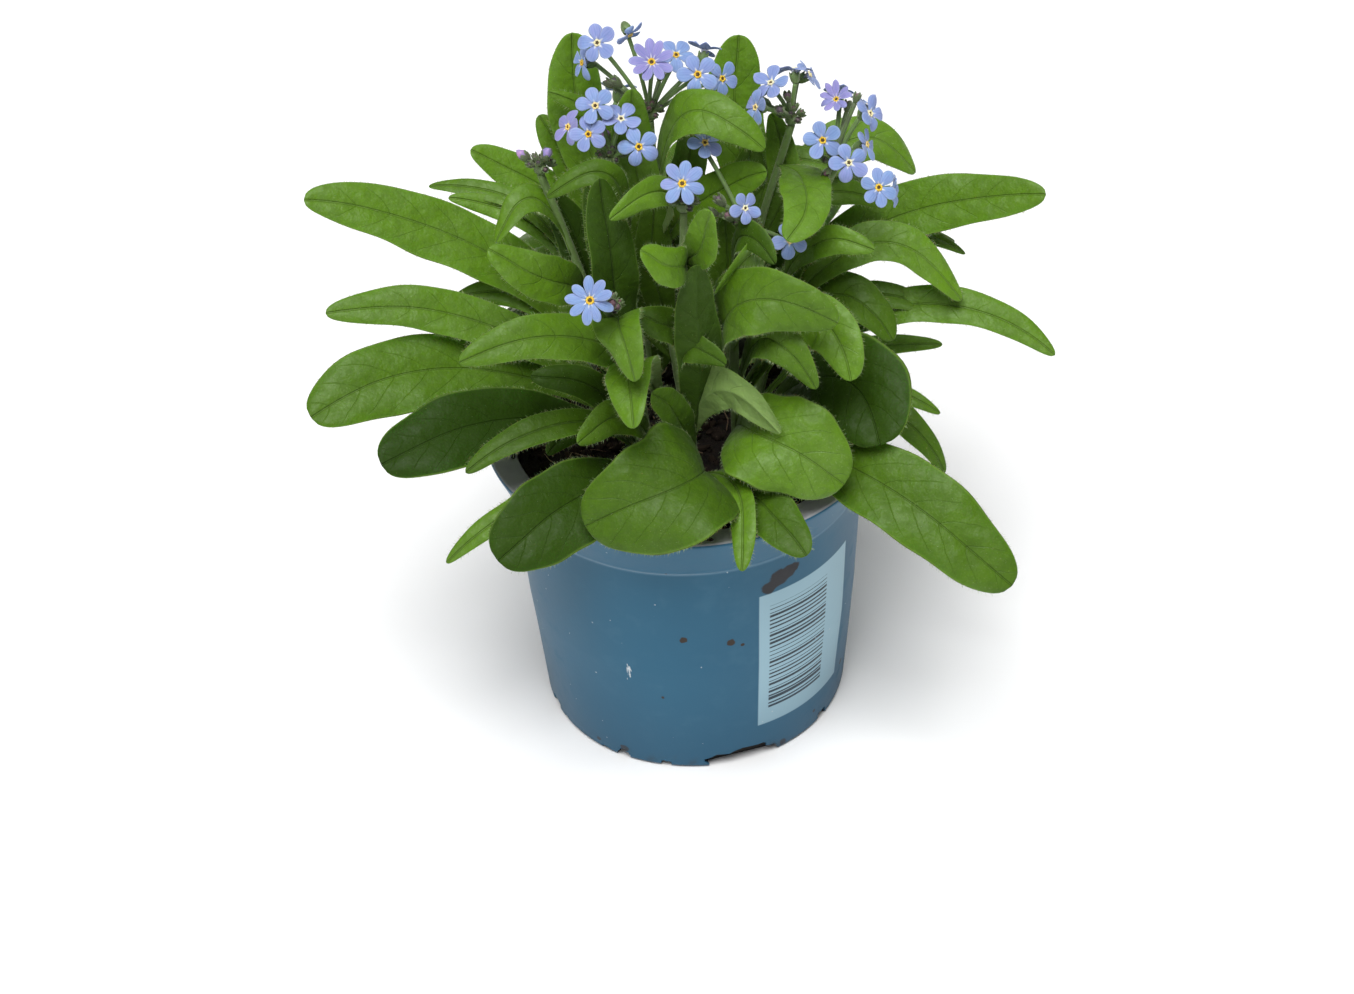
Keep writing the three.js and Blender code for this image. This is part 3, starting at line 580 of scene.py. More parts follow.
def add_petals(shape, flower, rng, settings):
    """Petals: on petal k, P(v, a) = centre + r(v) e_k + s b(v) f_k + n face, where r runs from the
    eye to the tip, b is a narrow claw that rounds out into a full lobe, and n tilts one margin up."""
    centre, face, side, up = face_axes(flower)
    count, lilac = flower.petals, flower.lilac
    k = np.arange(count)
    turn = (k + 0.5) * 2 * np.pi / count + rng.normal(0, 0.06, count)
    double = count > 8 and lilac > 0.85
    e = spokes(turn, side, up)
    f = np.cross(face, e)
    v = np.sin(np.linspace(0, 0.5 * np.pi * 0.97, 9))
    s, top = np.cos(circle(12)), np.sin(circle(12))
    size = 0.965 * flower.radius * (1 - 0.04 * (k % 2) + rng.normal(0, 0.02, count))
    claw = 0.34 + 0.66 * np.sin(np.pi / 2 * np.minimum(v / 0.6, 1)) ** 1.6
    lobe = np.sqrt(np.maximum(1 - ((v - 0.6) / 0.405) ** 2, 0))
    b = size[:, None] * 0.365 * (5 / count) ** 0.82 * np.where(v < 0.6, claw, lobe)
    r = size[:, None] * (0.12 + 0.88 * v)
    cup, bend, dish = rng.normal((0.04, 0, -0.05), (0.12, 0.7, 0.4), (count, 3)).T[:, :, None]
    cup = cup + (0.32 if double else 0)
    n = -0.1 + cup * r + 0.3 * np.sin(np.pi * v) + bend * v**3
    n = n[:, :, None] + (0.2 * s + dish[:, :, None] * s**2) * (b / size.mean())[:, :, None] * 1.8
    n = n + 0.5 * settings.petal_thickness / MM * top
    n = n + 0.09 * np.exp(-((s / 0.16) ** 2)) * ease(v, 0.2, 0.6)[None, :, None]
    rings = (
        centre + r[:, :, None, None] * e[:, None, None]
        + (s * b[:, :, None])[..., None] * f[:, None, None] + n[..., None] * face
    )
    ones = np.ones(n.shape)
    tone = lilac + 0.3 * flower_age(flower) ** 2 + rng.normal(0, 0.08, count)
    tone = np.clip(tone, 0, 1)[:, None, None]
    tint = np.stack([tone * ones, (top < 0) * ones, rng.random(count)[:, None, None] * ones], -1)
    uv = np.stack([v[None, :, None] * ones, s * ones / 2 + 0.5], -1)
    shape.add_rings(rings, 0, tint, uv=uv)


def add_eye(shape, flower):
    """Eye: a ring of scales, a small circle carried round a circle and swelling with each petal,
    P = centre + (R + q cos u) e(a) + q sin u face, q = 0.05 R0 (1 + 0.3 cos(n a)), over a short throat plug
    painted near black as shade."""
    centre, face, side, up = face_axes(flower)
    a, u = circle(30)[:, None], circle(6)
    q = 0.05 * flower.radius * (1 + 0.3 * np.cos(flower.petals * a - np.pi * (flower.petals % 2)))
    ring = 0.13 * flower.radius + q * np.cos(u)
    rings = centre + ring[..., None] * spokes(a, side, up) + (0.14 + 1.2 * q * np.sin(u))[..., None] * face
    shape.add_rings(rings[None], 1, tint=(flower_age(flower), 0, 0), uv=(0.5, 0.5), ring_closed=True)
    # the throat: a short plug in the near-black throat material, painted shade for the hole
    path = centre + np.outer([-0.6, -0.3, 0.06], face)
    shape.add_tube(path, np.array([0.1, 0.13, 0.12]) * flower.radius, 12, 2)


def add_cup(shape, centre, axis, length, width, tone, rng):
    """Calyx: P(v, a) = centre + axis z(v, a) + r(v) e(a): a hairy cup whose rim rises into five
    pointed teeth, z = length v (0.6 + 0.4 v tooth), tooth = |cos(5 a / 2)|^0.8, up outside and down
    inside."""
    side, up = square_to(axis)
    a = circle(30)
    tooth = np.abs(np.cos(5 * a / 2)) ** 0.8
    v = np.array([0, 0.12, 0.3, 0.55, 0.8, 1.0, 1.0, 0.75, 0.5])[:, None]
    wall = np.array([0, 0, 0, 0, 0, 0, 0.16, 0.2, 0.2])[:, None]
    z = length * v * (0.6 + 0.4 * tooth * v)
    r = width * (0.35 + 0.65 * np.sin(np.pi / 2 * v) ** 0.8) * (1 - wall)
    rings = centre + z[..., None] * axis + r[..., None] * spokes(a, side, up)
    shape.add_rings(rings[None], 3, tint=(tone, 0, rng.random()))
    n = 46
    out = spokes(rng.uniform(0, 2 * np.pi, n), side, up)
    v = rng.uniform(0.05, 0.85, n)[:, None]
    base = centre + axis * length * 0.8 * v + out * width * (0.35 + 0.6 * np.sin(np.pi / 2 * v) ** 0.8)
    shape.add_hairs(base, out + 0.5 * axis + rng.normal(0, 0.2, (n, 3)), rng.uniform(0.35, 0.8, n), 5)


def add_stalk(shape, start, end, tone, rng):
    """Flower stalk: a thin round bar that bows slightly sideways, with short leaning hairs."""
    t = np.linspace(0, 1, 12)[:, None]
    reach = end - start
    length, along = np.linalg.norm(reach), unit(reach)
    bow = np.cross(along, unit(np.cross(reach, UP) + 1e-6)) * 0.03 * length
    path = start + reach * t - bow * np.sin(np.pi * t)
    radii = 0.5 + 0.1 * t[:, 0] ** 2 + 0.12 * (1 - t[:, 0]) ** 3
    shape.add_tube(path, radii, 8, 3, tint=(tone, 0, rng.random()))
    n = int(5 * length)
    i = rng.integers(1, 11, n)
    out = spokes(rng.uniform(0, 2 * np.pi, n), *square_to(along))
    base = path[i] + rng.uniform(-0.4, 0.4, n)[:, None] * along + 0.4 * out
    shape.add_hairs(base, out + 0.6 * along, rng.uniform(0.3, 0.7, n), 5, 0.028)


def add_flower(shape, flower, knob, rng, settings):
    """Flower: petals, eye and tube, on a stalk from the bunch's knob, in a calyx."""
    centre, face = face_axes(flower)[:2]
    neck = centre - 3.5 * face
    add_petals(shape, flower, rng, settings)
    add_eye(shape, flower)
    tube = centre + np.outer([-2.6, -1.6, -0.5, -0.15], face)
    shape.add_tube(tube, [0.5, 0.62, 0.7, 1.0], 10, 0, tint=(0.1, 1, 0.5), uv=(0, 0.5))
    add_stalk(shape, knob, neck, 0.08, rng)
    add_cup(shape, neck - 0.15 * face, face, 3.0, 1.35, 0.3, rng)


def add_bud(shape, centre, axis, length, show, tone, rng):
    """Bud: a pointed oval, r(v) = q sin(pi v^0.85)^0.8, twisted as it closes, in a hairy calyx."""
    v = np.linspace(0.02, 0.98, 9)[:, None]
    twist = circle(15) + 1.6 * v
    r = 0.27 * length * np.sin(np.pi * v**0.85) ** 0.8 * (1 + 0.1 * np.cos(5 * twist))
    z = -0.3 * length + (0.62 + 0.22 * show) * length * v
    rings = centre + z[..., None] * axis + r[..., None] * spokes(circle(15), *square_to(axis))
    shape.add_rings(rings[None], 4, tint=(show, 0, rng.random()), uv=(0.5, 0.5))
    foot, tall = centre - 0.5 * length * axis, (0.92 - 0.3 * show) * length
    add_cup(shape, foot, axis, tall, 0.33 * length, tone, rng)


def add_bunch(shape, stem, settings, rng):
    """Bunch: a knob on the stem's tip with flowers, buds, and small closed buds all round it."""
    knob = stem_at(stem, STEMS[stem][7]) + 1.7 * UP
    v = np.linspace(-1.3, 1.1, 7)
    radii = 0.8 + 0.9 * np.sqrt(np.maximum(1 - (v / 1.45) ** 2, 0))
    shape.add_tube(knob + np.outer(v, UP), radii, 10, 3, tint=(0.4, 0, 0.5))
    for row in FLOWERS.get(stem, ()):
        add_flower(shape, Flower(*row), knob, rng, settings)
    for x, y, z, length, show in BUDS.get(stem, ()):
        centre = np.array([x, y, z], float)
        axis = unit(centre - knob)
        add_stalk(shape, knob + axis, centre - 0.5 * length * axis, 0.6, rng)
        add_bud(shape, centre, axis, length, show, 0.75, rng)
    for i in range(11):
        axis = heading(137.5 * i + 20, 8 + 7 * i)
        length = rng.uniform(2.0, 2.9)
        tone = rng.uniform(0.45, 0.9)
        add_bud(shape, knob + axis * (1.9 + 0.5 * length), axis, length, 0.12, tone, rng)


# Pot and soil

# Outline of the pot, radius and height, out over the wall, round the lip and down inside
POT_OUTLINE = [
    (0, 0), (40.4, 0), (41.2, 0.8), (44.3, 36), (46.3, 71.7), (47, 72.7), (52.2, 84.4), (52.5, 85.3),
    (51.9, 86), (45, 84.8), (44.6, 71.7), (43, 36), (39.9, 1.8), (0, 1.8),
]

# Outline of the soil, radius and height, from the middle of its foot to the middle of its top
SOIL_OUTLINE = [(0, 2.1), (39.4, 2.1), (42.6, 36), (44, 71.7), (44.2, 75.6), (43.4, 76.7), (0, 77.3)]

# Notches round the foot: azimuth, width, height
NOTCHES = [
    (-74, 21, 5.2), (-120, 4, 3), (-103, 3.4, 2.2), (-35, 4.5, 3.2), (-160, 6, 3.6),
    (15, 6, 3.2), (52, 4, 3), (88, 18, 3.4), (126, 4, 3), (162, 5, 3.2),
]


def rounded_outline(outline, radius):
    """Outline whose inner corners are replaced by the arc q(t) = (1-t)^2 a + 2t(1-t) corner + t^2 b."""
    outline = np.array(outline, float)
    corner, back, ahead = outline[1:-1], outline[:-2], outline[2:]
    reach = np.minimum(np.linalg.norm(corner - back, axis=1), np.linalg.norm(ahead - corner, axis=1))
    reach = np.minimum(reach * 0.45, radius)[:, None]
    a = corner + unit(back - corner) * reach
    b = corner + unit(ahead - corner) * reach
    t = np.linspace(0, 1, 5)[:, None, None]
    arcs = ((1 - t) ** 2 * a + 2 * t * (1 - t) * corner + t**2 * b).transpose(1, 0, 2)
    return np.vstack([outline[:1], arcs.reshape(-1, 2), outline[-1:]])


def split_long(outline, longest):
    """Puts points into each stretch longer than the given length."""
    parts = [outline[:1]]
    for a, b in zip(outline[:-1], outline[1:]):
        n = max(int(np.ceil(np.linalg.norm(b - a) / longest)), 1)
        parts.append(a + (b - a) * (np.arange(1, n + 1) / n)[:, None])
    return np.vstack(parts)


def lathe(shape, outline, columns, ripple):
    """Lathe: P(i, a) = (r_i cos a, r_i sin a, z_i), its radius rippled by a few slow waves."""
    a = circle(columns)
    r, z = outline[1:-1, :1], outline[1:-1, 1:]
    wave = np.sin(3 * a + z / 19) + 0.6 * np.sin(5 * a - z / 13 + 1) + 0.4 * np.sin(8 * a + z / 7)
    r = r * np.ones_like(a) + ripple * wave * ease(r, 38, 41)
    rings = np.stack([r * np.cos(a), r * np.sin(a), z * np.ones_like(a)], -1)
    shape.add_rings(rings[None])


def notch_cutters(shape):
    """Bars pointing outwards at the foot, one for each notch and each small nick kept clear of them.
    Their outline is the superellipse (w/2 cos^0.75 a, h sin^0.75 a), torn by two sines of a."""
    rng = np.random.default_rng(NICK_SEED)
    nicks = []
    for azimuth in np.arange(-176, 180, 8) + rng.uniform(-1.2, 1.2, 45):
        torn = -180 < azimuth < -126
        width = rng.uniform(1, 3.2) * (1.2 if torn else 1)
        height = rng.uniform(0.4, 1.2) * (1.9 if torn else 1)
        if all(abs((azimuth - n[0] + 180) % 360 - 180) > 0.75 * (n[1] + width) for n in NOTCHES):
            nicks.append((azimuth, width, height))
    a = circle(40)
    x, z = (np.sign(f) * np.abs(f) ** 0.75 for f in (np.cos(a), np.sin(a)))
    for azimuth, width, height in NOTCHES + nicks:
        out, side = heading(azimuth, 0), heading(azimuth + 90, 0)
        rough = 0.97 + 0.08 * np.sin(5 * a + azimuth) + 0.06 * np.sin(11 * a + 2 * azimuth)
        ring = np.outer(x * rough * width / 2, side) + np.outer(z * rough * height, UP)
        reach = np.linspace(37.6, 45.6, 3)[:, None, None] * out
        shape.add_rings((reach + ring)[None])


def place_texture(points):
    """Slow bumps for soil: a sum of sines of mixed directions, from -1 to 1."""
    rng = np.random.default_rng(TEXTURE_SEED)
    total = np.zeros(len(points))
    for k in range(28):
        wave = rng.normal(0, 1, 3) * (0.25 + 0.09 * k)
        total += np.sin(points @ wave + rng.uniform(0, 6.3)) / (1 + 0.16 * k)
    return total / np.abs(total).max()


def add_soil_body(shape, settings):
    """Soil: a filled cup of earth whose top is z = 77 + crumbs(x, y), damped towards the wall."""
    outline = split_long(np.array(SOIL_OUTLINE), 0.9)
    a = circle(220)
    r, z = outline[1:-1, :1] * np.ones_like(a), outline[1:-1, 1:] * np.ones_like(a)
    rings = np.stack([r * np.cos(a), r * np.sin(a), z], -1)
    top = ease(z, 75.9, 76.8) * ease(-r, -43.8, -41.5)
    flat = rings.reshape(-1, 3)
    lump = place_texture(flat * np.array([1, 1, 0.2])).reshape(r.shape)
    fine = place_texture(flat[:, [1, 0, 2]] * 2.7).reshape(r.shape)
    rings[..., 2] += settings.lumps / MM * top * (lump + 0.5 * fine)
    shape.add_rings(rings[None], 0)


def add_crumbs(shape, settings, rng):
    """Crumbs: small spheres squeezed and dented at random, lying on the soil and a few on the lip."""
    n = settings.crumbs
    size = rng.gamma(3.0, 0.28, n) + 0.3
    r, a = CRUMB_REACH * np.sqrt(rng.random(n)), rng.uniform(0, 2 * np.pi, n)
    lip = rng.random(n) < 0.06
    size = np.where(lip, np.minimum(size, 0.6), size)
    r = np.where(lip, rng.uniform(LIP_START, LIP_END, n), r)
    floor = np.where(lip, 84.9 + (r - 45) * 0.17, SOIL_LEVEL)
    centre = np.stack([r * np.cos(a), r * np.sin(a), floor + 0.3 * size], -1)
    polar = np.linspace(0.25, np.pi - 0.25, 5)[:, None]
    turn = circle(7)
    ball = [np.sin(polar) * np.cos(turn), np.sin(polar) * np.sin(turn), -np.cos(polar) + 0 * turn]
    ball = np.stack(ball, -1)
    dent = 1 + 0.25 * rng.normal(0, 1, (n, 5, 7, 1))
    squeeze = rng.uniform(0.55, 1.2, (n, 1, 1, 3)) * size[:, None, None, None]
    rings = centre[:, None, None] + ball * dent * squeeze
    tone = np.broadcast_to(rng.random((n, 1, 1, 1)), (n, 5, 7, 1))
    shape.add_rings(rings, 0, tint=np.concatenate([tone, tone, tone], -1))


def add_roots(shape, settings, rng):
    """Fine roots and straw: thin bent bars lying over the soil."""
    for _ in range(settings.roots):
        r, a = ROOT_REACH * np.sqrt(rng.random()), rng.uniform(0, 2 * np.pi)
        turn, length = rng.uniform(0, 360), rng.uniform(4, 13)
        along, across = heading(turn, 0), heading(turn + 90, 0)
        t = np.linspace(-0.5, 0.5, 9)
        middle = np.array([r * np.cos(a), r * np.sin(a), 77.9 + rng.uniform(0, 0.8)])
        bend = rng.normal(0, 1.6) * (4 * t**2 - 0.5) + 0.4 * np.sin(9 * t)
        path = middle + np.outer(t * length, along) + np.outer(bend, across)
        path[:, 2] += 0.7 * np.cos(3 * t) - 0.4
        out = np.maximum(np.linalg.norm(path[:, :2], axis=1) / SOIL_WALL, 1)
        path[:, :2] /= out[:, None]
        radii = rng.uniform(0.12, 0.3) * (1 - 0.5 * np.abs(t))
        shape.add_tube(path, radii, 6, 1, tint=(rng.random(), 0, rng.random()))


# Materials

# Metres along the wall for each degree round the pot
WALL_DEGREE = 0.00077
DIRT = (0.035, 0.024, 0.017)

# Marks of earth on the wrap: azimuth in degrees, height and size in metres
SPOTS = [
    (-93.6, 0.0488, 0.0011), (-78.0, 0.0465, 0.0013), (-74.0, 0.0446, 0.0008), (-102.0, 0.0273, 0.0007),
    (-57.0, 0.0022, 0.0013), (-119.0, 0.004, 0.0014), (-131.0, 0.003, 0.001), (60.0, 0.02, 0.002),
    (150.0, 0.05, 0.0015), (100.0, 0.004, 0.005), (-20.0, 0.012, 0.001), (-41.0, 0.006, 0.0007),
]

# Lobes of the dark blot above the panel: azimuth in degrees, height, width and tallness in metres
BLOT = [
    (-64.3, 0.0621, 0.0025, 0.0024), (-60.6, 0.0642, 0.0036, 0.0034), (-57.6, 0.065, 0.0028, 0.0026),
    (-55.4, 0.0656, 0.0022, 0.002),
]


def sign(kind, swapped=False):
    """An arithmetic sign between two values, or a value and a number: one Math node."""

    def join(self, other):
        return self.tree.math(kind, other, self) if swapped else self.tree.math(kind, self, other)

    return join


class Value:
    """A node's output. Sums, differences, products and quotients of it are Math nodes."""

    def __init__(self, tree, socket):
        self.tree, self.socket = tree, socket

    __add__, __radd__ = sign("ADD"), sign("ADD", True)
    __sub__, __rsub__ = sign("SUBTRACT"), sign("SUBTRACT", True)
    __mul__, __rmul__ = sign("MULTIPLY"), sign("MULTIPLY", True)
    __truediv__ = sign("DIVIDE")


class Tree:
    """Adds nodes to a material, a world or a node group and joins them."""

    def __init__(self, tree):
        self.tree = tree

    def split(self, kind, inputs=None, **settings):
        """Adds a node and gives its outputs, one by one."""
        node = self.tree.nodes.new("ShaderNode" + kind)
        for key, value in settings.items():
            setattr(node, key, value)
        for key, value in (inputs or {}).items():
            self.put(node.inputs[key], value)
        return [Value(self, output) for output in node.outputs]

    def add(self, kind, output, inputs=None, **settings):
        """Adds a node and gives its output of that name."""
        values = self.split(kind, inputs, **settings)
        return next(value for value in values if value.socket.name == output)

    def put(self, socket, value):
        """Joins a value to a socket, or sets a constant on it."""
        if isinstance(value, Value):
            self.tree.links.new(value.socket, socket)
        elif socket.type == "RGBA":
            socket.default_value = (*value[:3], 1.0)
        else:
            socket.default_value = value

    def math(self, operation, *values, clamp=False):
        """One Math node on one or two values."""
        return self.add("Math", "Value", dict(enumerate(values)), operation=operation, use_clamp=clamp)

    def step(self, value, low, high):
        """Smooth step from 0 at low to 1 at high."""
        inputs = {"Value": value, "From Min": low, "From Max": high}
        return self.add("MapRange", "Result", inputs, interpolation_type="SMOOTHSTEP")

    def mix(self, base, *layers):
        """A colour with others laid over it in turn, each given as its share and the colour."""
        for share, colour in layers:
            base = self.split("Mix", {0: share, 6: base, 7: colour}, data_type="RGBA")[2]
        return base

    def parts(self, name):
        """Red, green and blue of the mesh's colours of that name."""
        colour = self.add("Attribute", "Color", attribute_name=name)
        return self.split("SeparateColor", {"Color": colour})

    def place(self):
        """The object's own coordinates, in metres."""
        return self.add("TexCoord", "Object")

    def surface(self):
        """Place along the surface from 0, and across it from -1 to 1, by the map 'surface'."""
        place = self.add("UVMap", "UV", uv_map="surface")
        along, across, _ = self.split("SeparateXYZ", {"Vector": place})
        return along, (across - 0.5) * 2.0

    def noise(self, vector, scale, detail=3.0):
        """Noise from 0 to 1."""
        return self.split("TexNoise", {"Vector": vector, "Scale": scale, "Detail": detail})[0]

    def effect(self, name, **inputs):
        """What a shared group puts out. Each group is built once, when it is first asked for."""
        maker, output = EFFECTS[name]
        if name not in GROUPS:
            GROUPS[name] = maker()
        inputs = {key.title(): value for key, value in inputs.items()}
        return self.add("Group", output, inputs, node_tree=GROUPS[name])

    def mottle(self, scale, low=0.35, high=0.65, detail=3.0):
        """The shared uneven mask at a scale."""
        return self.effect("mottle", scale=scale, detail=detail, low=low, high=high)


def new_group(name, output, kind, **inputs):
    """A shader node group with float inputs and one output, as its tree, its inputs and the output."""
    group = bpy.data.node_groups.new(name, "ShaderNodeTree")
    interface = group.interface
    for label, value in inputs.items():
        socket = interface.new_socket(name=label.title(), in_out="INPUT", socket_type="NodeSocketFloat")
        socket.default_value = value
    interface.new_socket(name=output, in_out="OUTPUT", socket_type="NodeSocket" + kind)
    tree = Tree(group)
    source = group.nodes.new("NodeGroupInput").outputs
    values = [Value(tree, source[label.title()]) for label in inputs]
    return tree, values, group.nodes.new("NodeGroupOutput").inputs[0]


def mottle_group():
    """Uneven colour: noise on the object's coordinates, stretched from its middle to 0 and 1."""
    tree, (scale, detail, low, high), target = new_group(
        "Mottle", "Mask", "Float", scale=60.0, detail=3.0, low=0.35, high=0.65)
    tree.put(target, tree.step(tree.noise(tree.place(), scale, detail), low, high))
    return tree.tree


def grain_group():
    """Fine relief: noise on the object's coordinates added to a given height, put out as a normal."""
    tree, (scale, depth, height, strength), target = new_group(
        "Fine Grain", "Normal", "Vector", scale=900.0, depth=0.0001, height=0.0, strength=0.5)
    relief = height + tree.noise(tree.place(), scale, 2.0) * 0.35
    inputs = {"Strength": strength, "Distance": depth, "Height": relief}
    tree.put(target, tree.add("Bump", "Normal", inputs))
    return tree.tree


def speck_group():
    """Scattered specks: the middles of Voronoi cells, kept in a share of the cells, roughened by noise."""
    tree, (scale, size, share), target = new_group(
        "Scattered Specks", "Mask", "Float", scale=300.0, size=0.2, share=0.2)
    place = tree.place()
    distance, colour = tree.split("TexVoronoi", {"Vector": place, "Scale": scale})[:2]
    near = tree.math("LESS_THAN", distance + tree.noise(place, 1400.0) * 0.25, size + 0.12)
    pick = tree.math("LESS_THAN", tree.add("SeparateColor", "Red", {"Color": colour}), share)
    tree.put(target, near * pick)
    return tree.tree


def spot_group():
    """One worn or dirty spot on the wall, an oval with a ragged edge at an azimuth and a height."""
    tree, (around, height, azimuth, level, wide, tall, ragged), target = new_group(
        "Wall Spot", "Mask", "Float", around=0.0, height=0.0, azimuth=-90.0, level=0.04, wide=0.002,
        tall=0.002, ragged=1.6)
    u = (around - azimuth) * WALL_DEGREE / wide
    v = (height - level) / tall
    edge = (tree.noise(tree.place(), 500.0, 5.0) - 0.5) * ragged
    tree.put(target, tree.step(tree.math("SQRT", u * u + v * v) + edge, 1.0, 0.75))
    return tree.tree


EFFECTS = {
    "mottle": (mottle_group, "Mask"), "grain": (grain_group, "Normal"), "specks": (speck_group, "Mask"),
    "spot": (spot_group, "Mask"),
}
GROUPS = {}


def new_material(name):
    """A material and its node tree."""
    material = bpy.data.materials.new(name)
    material.use_nodes = True
    return material, Tree(material.node_tree)


def finish(material, tree, sockets):
    """Joins the values to the material's shader and sets the constant ones on it."""
    shader = material.node_tree.nodes["Principled BSDF"].inputs
    for name, value in sockets.items():
        tree.put(shader[name], value)
    return material


def leaf_material(settings):
    """Leaf: light to dark green by leaf, mottled, with a dark line along the midrib that is painted shade
    of its groove and turns vein green on light leaves, side veins that climb towards the margin, pale down
    with painted sheen on the upper face, painted shade darkening the blade towards the stem, a paler
    underside and soft light through the blade."""
    material, tree = new_material("leaf blade")
    light, dark = settings.light_green, settings.dark_green
    vein, pale = settings.vein_green, settings.underside
    tone, under, seed = tree.parts("tint")
    t, half, _ = tree.parts("place")
    along, across = tree.surface()
    across = tree.math("ABSOLUTE", across)
    half_mm = half * 20.0
    out = across * half_mm
    sway = (tree.noise(tree.place(), 160.0, 2.0) - 0.5) * 3.0
    run = (along * 100.0 - tree.math("POWER", out, 1.3) * 0.85 + sway) / 9.5
    gap = tree.math("ABSOLUTE", tree.math("FRACT", run + seed) - 0.5)
    fade = tree.step(across, 0.95, 0.6) * tree.step(half_mm, 3.0, 6.0)
    lateral, quilt = tree.step(gap, 0.04, 0.0) * fade, tree.step(gap, 0.0, 0.5) * fade
    upper, midrib = 1.0 - under, tree.step(out, 0.34, 0.06)
    blotch, shade = tree.mottle(110.0, 0.3, 0.72), tree.mottle(430.0, 0.35, 0.7)
    # bloom: broad pale patches on the upper face, partly the leaf's down and partly painted sheen
    felt, bloom = tree.mottle(2200.0, 0.56, 0.74), tree.mottle(85.0, 0.44, 0.7)
    base = tree.mix(
        dark, (tone, light), (blotch * (tone * 0.4), light), (shade * 0.2, dark),
        (felt * (0.02 + tone * 0.2), pale),
        # pale down with painted sheen, on the upper face only
        (bloom * (0.09 + felt * 0.32) * (0.12 + tone * 0.88) * upper, pale),
        # dark green along the midrib: painted shade of its groove, with vein green on light leaves
        (lateral * 0.12, dark), (midrib * (0.42 - tone * 0.3), dark), (midrib * (tone * 0.2), vein),
        # a paler stalk, then painted shade: the inner part of each leaf darkened towards the stem
        (tree.step(t, 0.34, 0.08) * 0.2, vein), (tree.step(t, 0.6, 0.15) * 0.4, dark),
        (tree.step(across, 0.93, 0.99) * 0.45, vein),
        (under * tree.math("MAXIMUM", 0.0, tone * 0.9 - 0.1), pale),
    )
    swell = tree.noise(tree.place(), 330.0, 2.0)
    height = quilt * 0.42 - lateral * 0.35 + swell * 1.6 - midrib * upper * 1.2
    return finish(material, tree, {
        "Base Color": base, "Roughness": 0.46 + shade * 0.16, "Specular IOR Level": 0.1 + tone * 0.24,
        "Normal": tree.effect("grain", scale=1700.0, depth=0.00045, height=height, strength=0.68),
        "Subsurface Weight": 0.1, "Subsurface Scale": 0.001, "Subsurface Radius": (0.5, 1.0, 0.12),
        "Sheen Weight": 0.04, "Sheen Roughness": 0.4, "Sheen Tint": (0.8, 1.0, 0.6)})


def stem_material(name, green, ruddy):
    """Stem and calyx skin: green that turns ruddy brown by the tint, streaked and slightly rough."""
    material, tree = new_material(name)
    patch = tree.mottle(380.0, 0.4, 0.62)
    share = tree.math("ADD", tree.parts("tint")[0], (patch - 0.5) * 0.35, clamp=True)
    return finish(material, tree, {
        "Base Color": tree.mix(green, (share, ruddy)), "Roughness": 0.48 + patch * 0.15,
        "Normal": tree.effect("grain", scale=2400.0, depth=0.0001),
        "Subsurface Weight": 0.1, "Subsurface Scale": 0.001, "Subsurface Radius": (0.5, 1.0, 0.2),
        "Sheen Weight": 0.25, "Sheen Tint": (0.85, 0.95, 0.7)})


def hair_material():
    """Plant hairs: pale green, slightly see-through."""
    material, tree = new_material("plant hairs")
    shine = tree.mottle(200.0, 0.3, 0.7)
    return finish(material, tree, {
        "Base Color": tree.mix((0.2, 0.28, 0.09), (shine, (0.4, 0.48, 0.24))), "Roughness": 0.55,
        "Subsurface Weight": 0.2, "Subsurface Scale": 0.0005})


def petal_material(settings):
    """Petal: sky blue to lilac by flower, a white ray running out of the eye, fine lines along the
    lobe, a paler margin and a soft matt surface."""
    material, tree = new_material("petal")
    deep = settings.deep_blue
    tone, under, seed = tree.parts("tint")
    along, across = tree.surface()
    wide = tree.math("ABSOLUTE", across)
    patch = tree.mottle(420.0)
    lines = tree.step(tree.math("SINE", across * 17.0), 0.0, 1.0)
    middle = tree.step(wide, 0.2, 0.0) * tree.step(along, 0.95, 0.5)
    edge = tree.math("MAXIMUM", tree.step(wide, 0.6, 1.0), tree.step(along, 0.8, 1.0))
    ray = tree.step(along + wide * 0.5, 0.36, 0.1) * (0.45 + seed * 0.5)
    base = tree.mix(
        settings.blue, (tree.math("ADD", tone, patch * 0.2, clamp=True), settings.lilac),
        (seed * 0.3, deep), (lines * 0.27, deep), (middle * 0.35, deep), (edge * 0.35, settings.pale_edge),
        (ray, (0.86, 0.87, 0.84)), (under * 0.4, (0.36, 0.38, 0.6)),
    )
    return finish(material, tree, {
        "Base Color": base, "Roughness": 0.55 + patch * 0.12, "Specular IOR Level": 0.3,
        "Normal": tree.effect("grain", scale=3000.0, depth=0.00006, height=lines * 0.6),
        "Subsurface Weight": 0.18, "Subsurface Scale": 0.0008, "Subsurface Radius": (0.7, 0.8, 1.0),
        "Sheen Weight": 0.1})


def eye_material():
    """Flower eye: yellow scales that fade to a dull white in old flowers."""
    material, tree = new_material("flower eye")
    patch = tree.mottle(1500.0)
    old = tree.step(tree.parts("tint")[0], 0.35, 0.95)
    return finish(material, tree, {
        "Base Color": tree.mix((0.72, 0.42, 0.02), (patch, (0.8, 0.58, 0.06)), (old, (0.8, 0.76, 0.5))),
        "Roughness": 0.4 + patch * 0.15, "Normal": tree.effect("grain", scale=5000.0, depth=0.00006),
        "Subsurface Weight": 0.1, "Subsurface Scale": 0.0005})


def throat_material():
    """Flower throat: a near-black plug inside the eye, painted shade standing in for the depth of the
    tube's opening.
    """
    material, tree = new_material("flower throat")
    base = tree.mix((0.02, 0.012, 0.008), (tree.mottle(2500.0), (0.12, 0.07, 0.02)))
    return finish(material, tree, {"Base Color": base, "Roughness": 0.7})


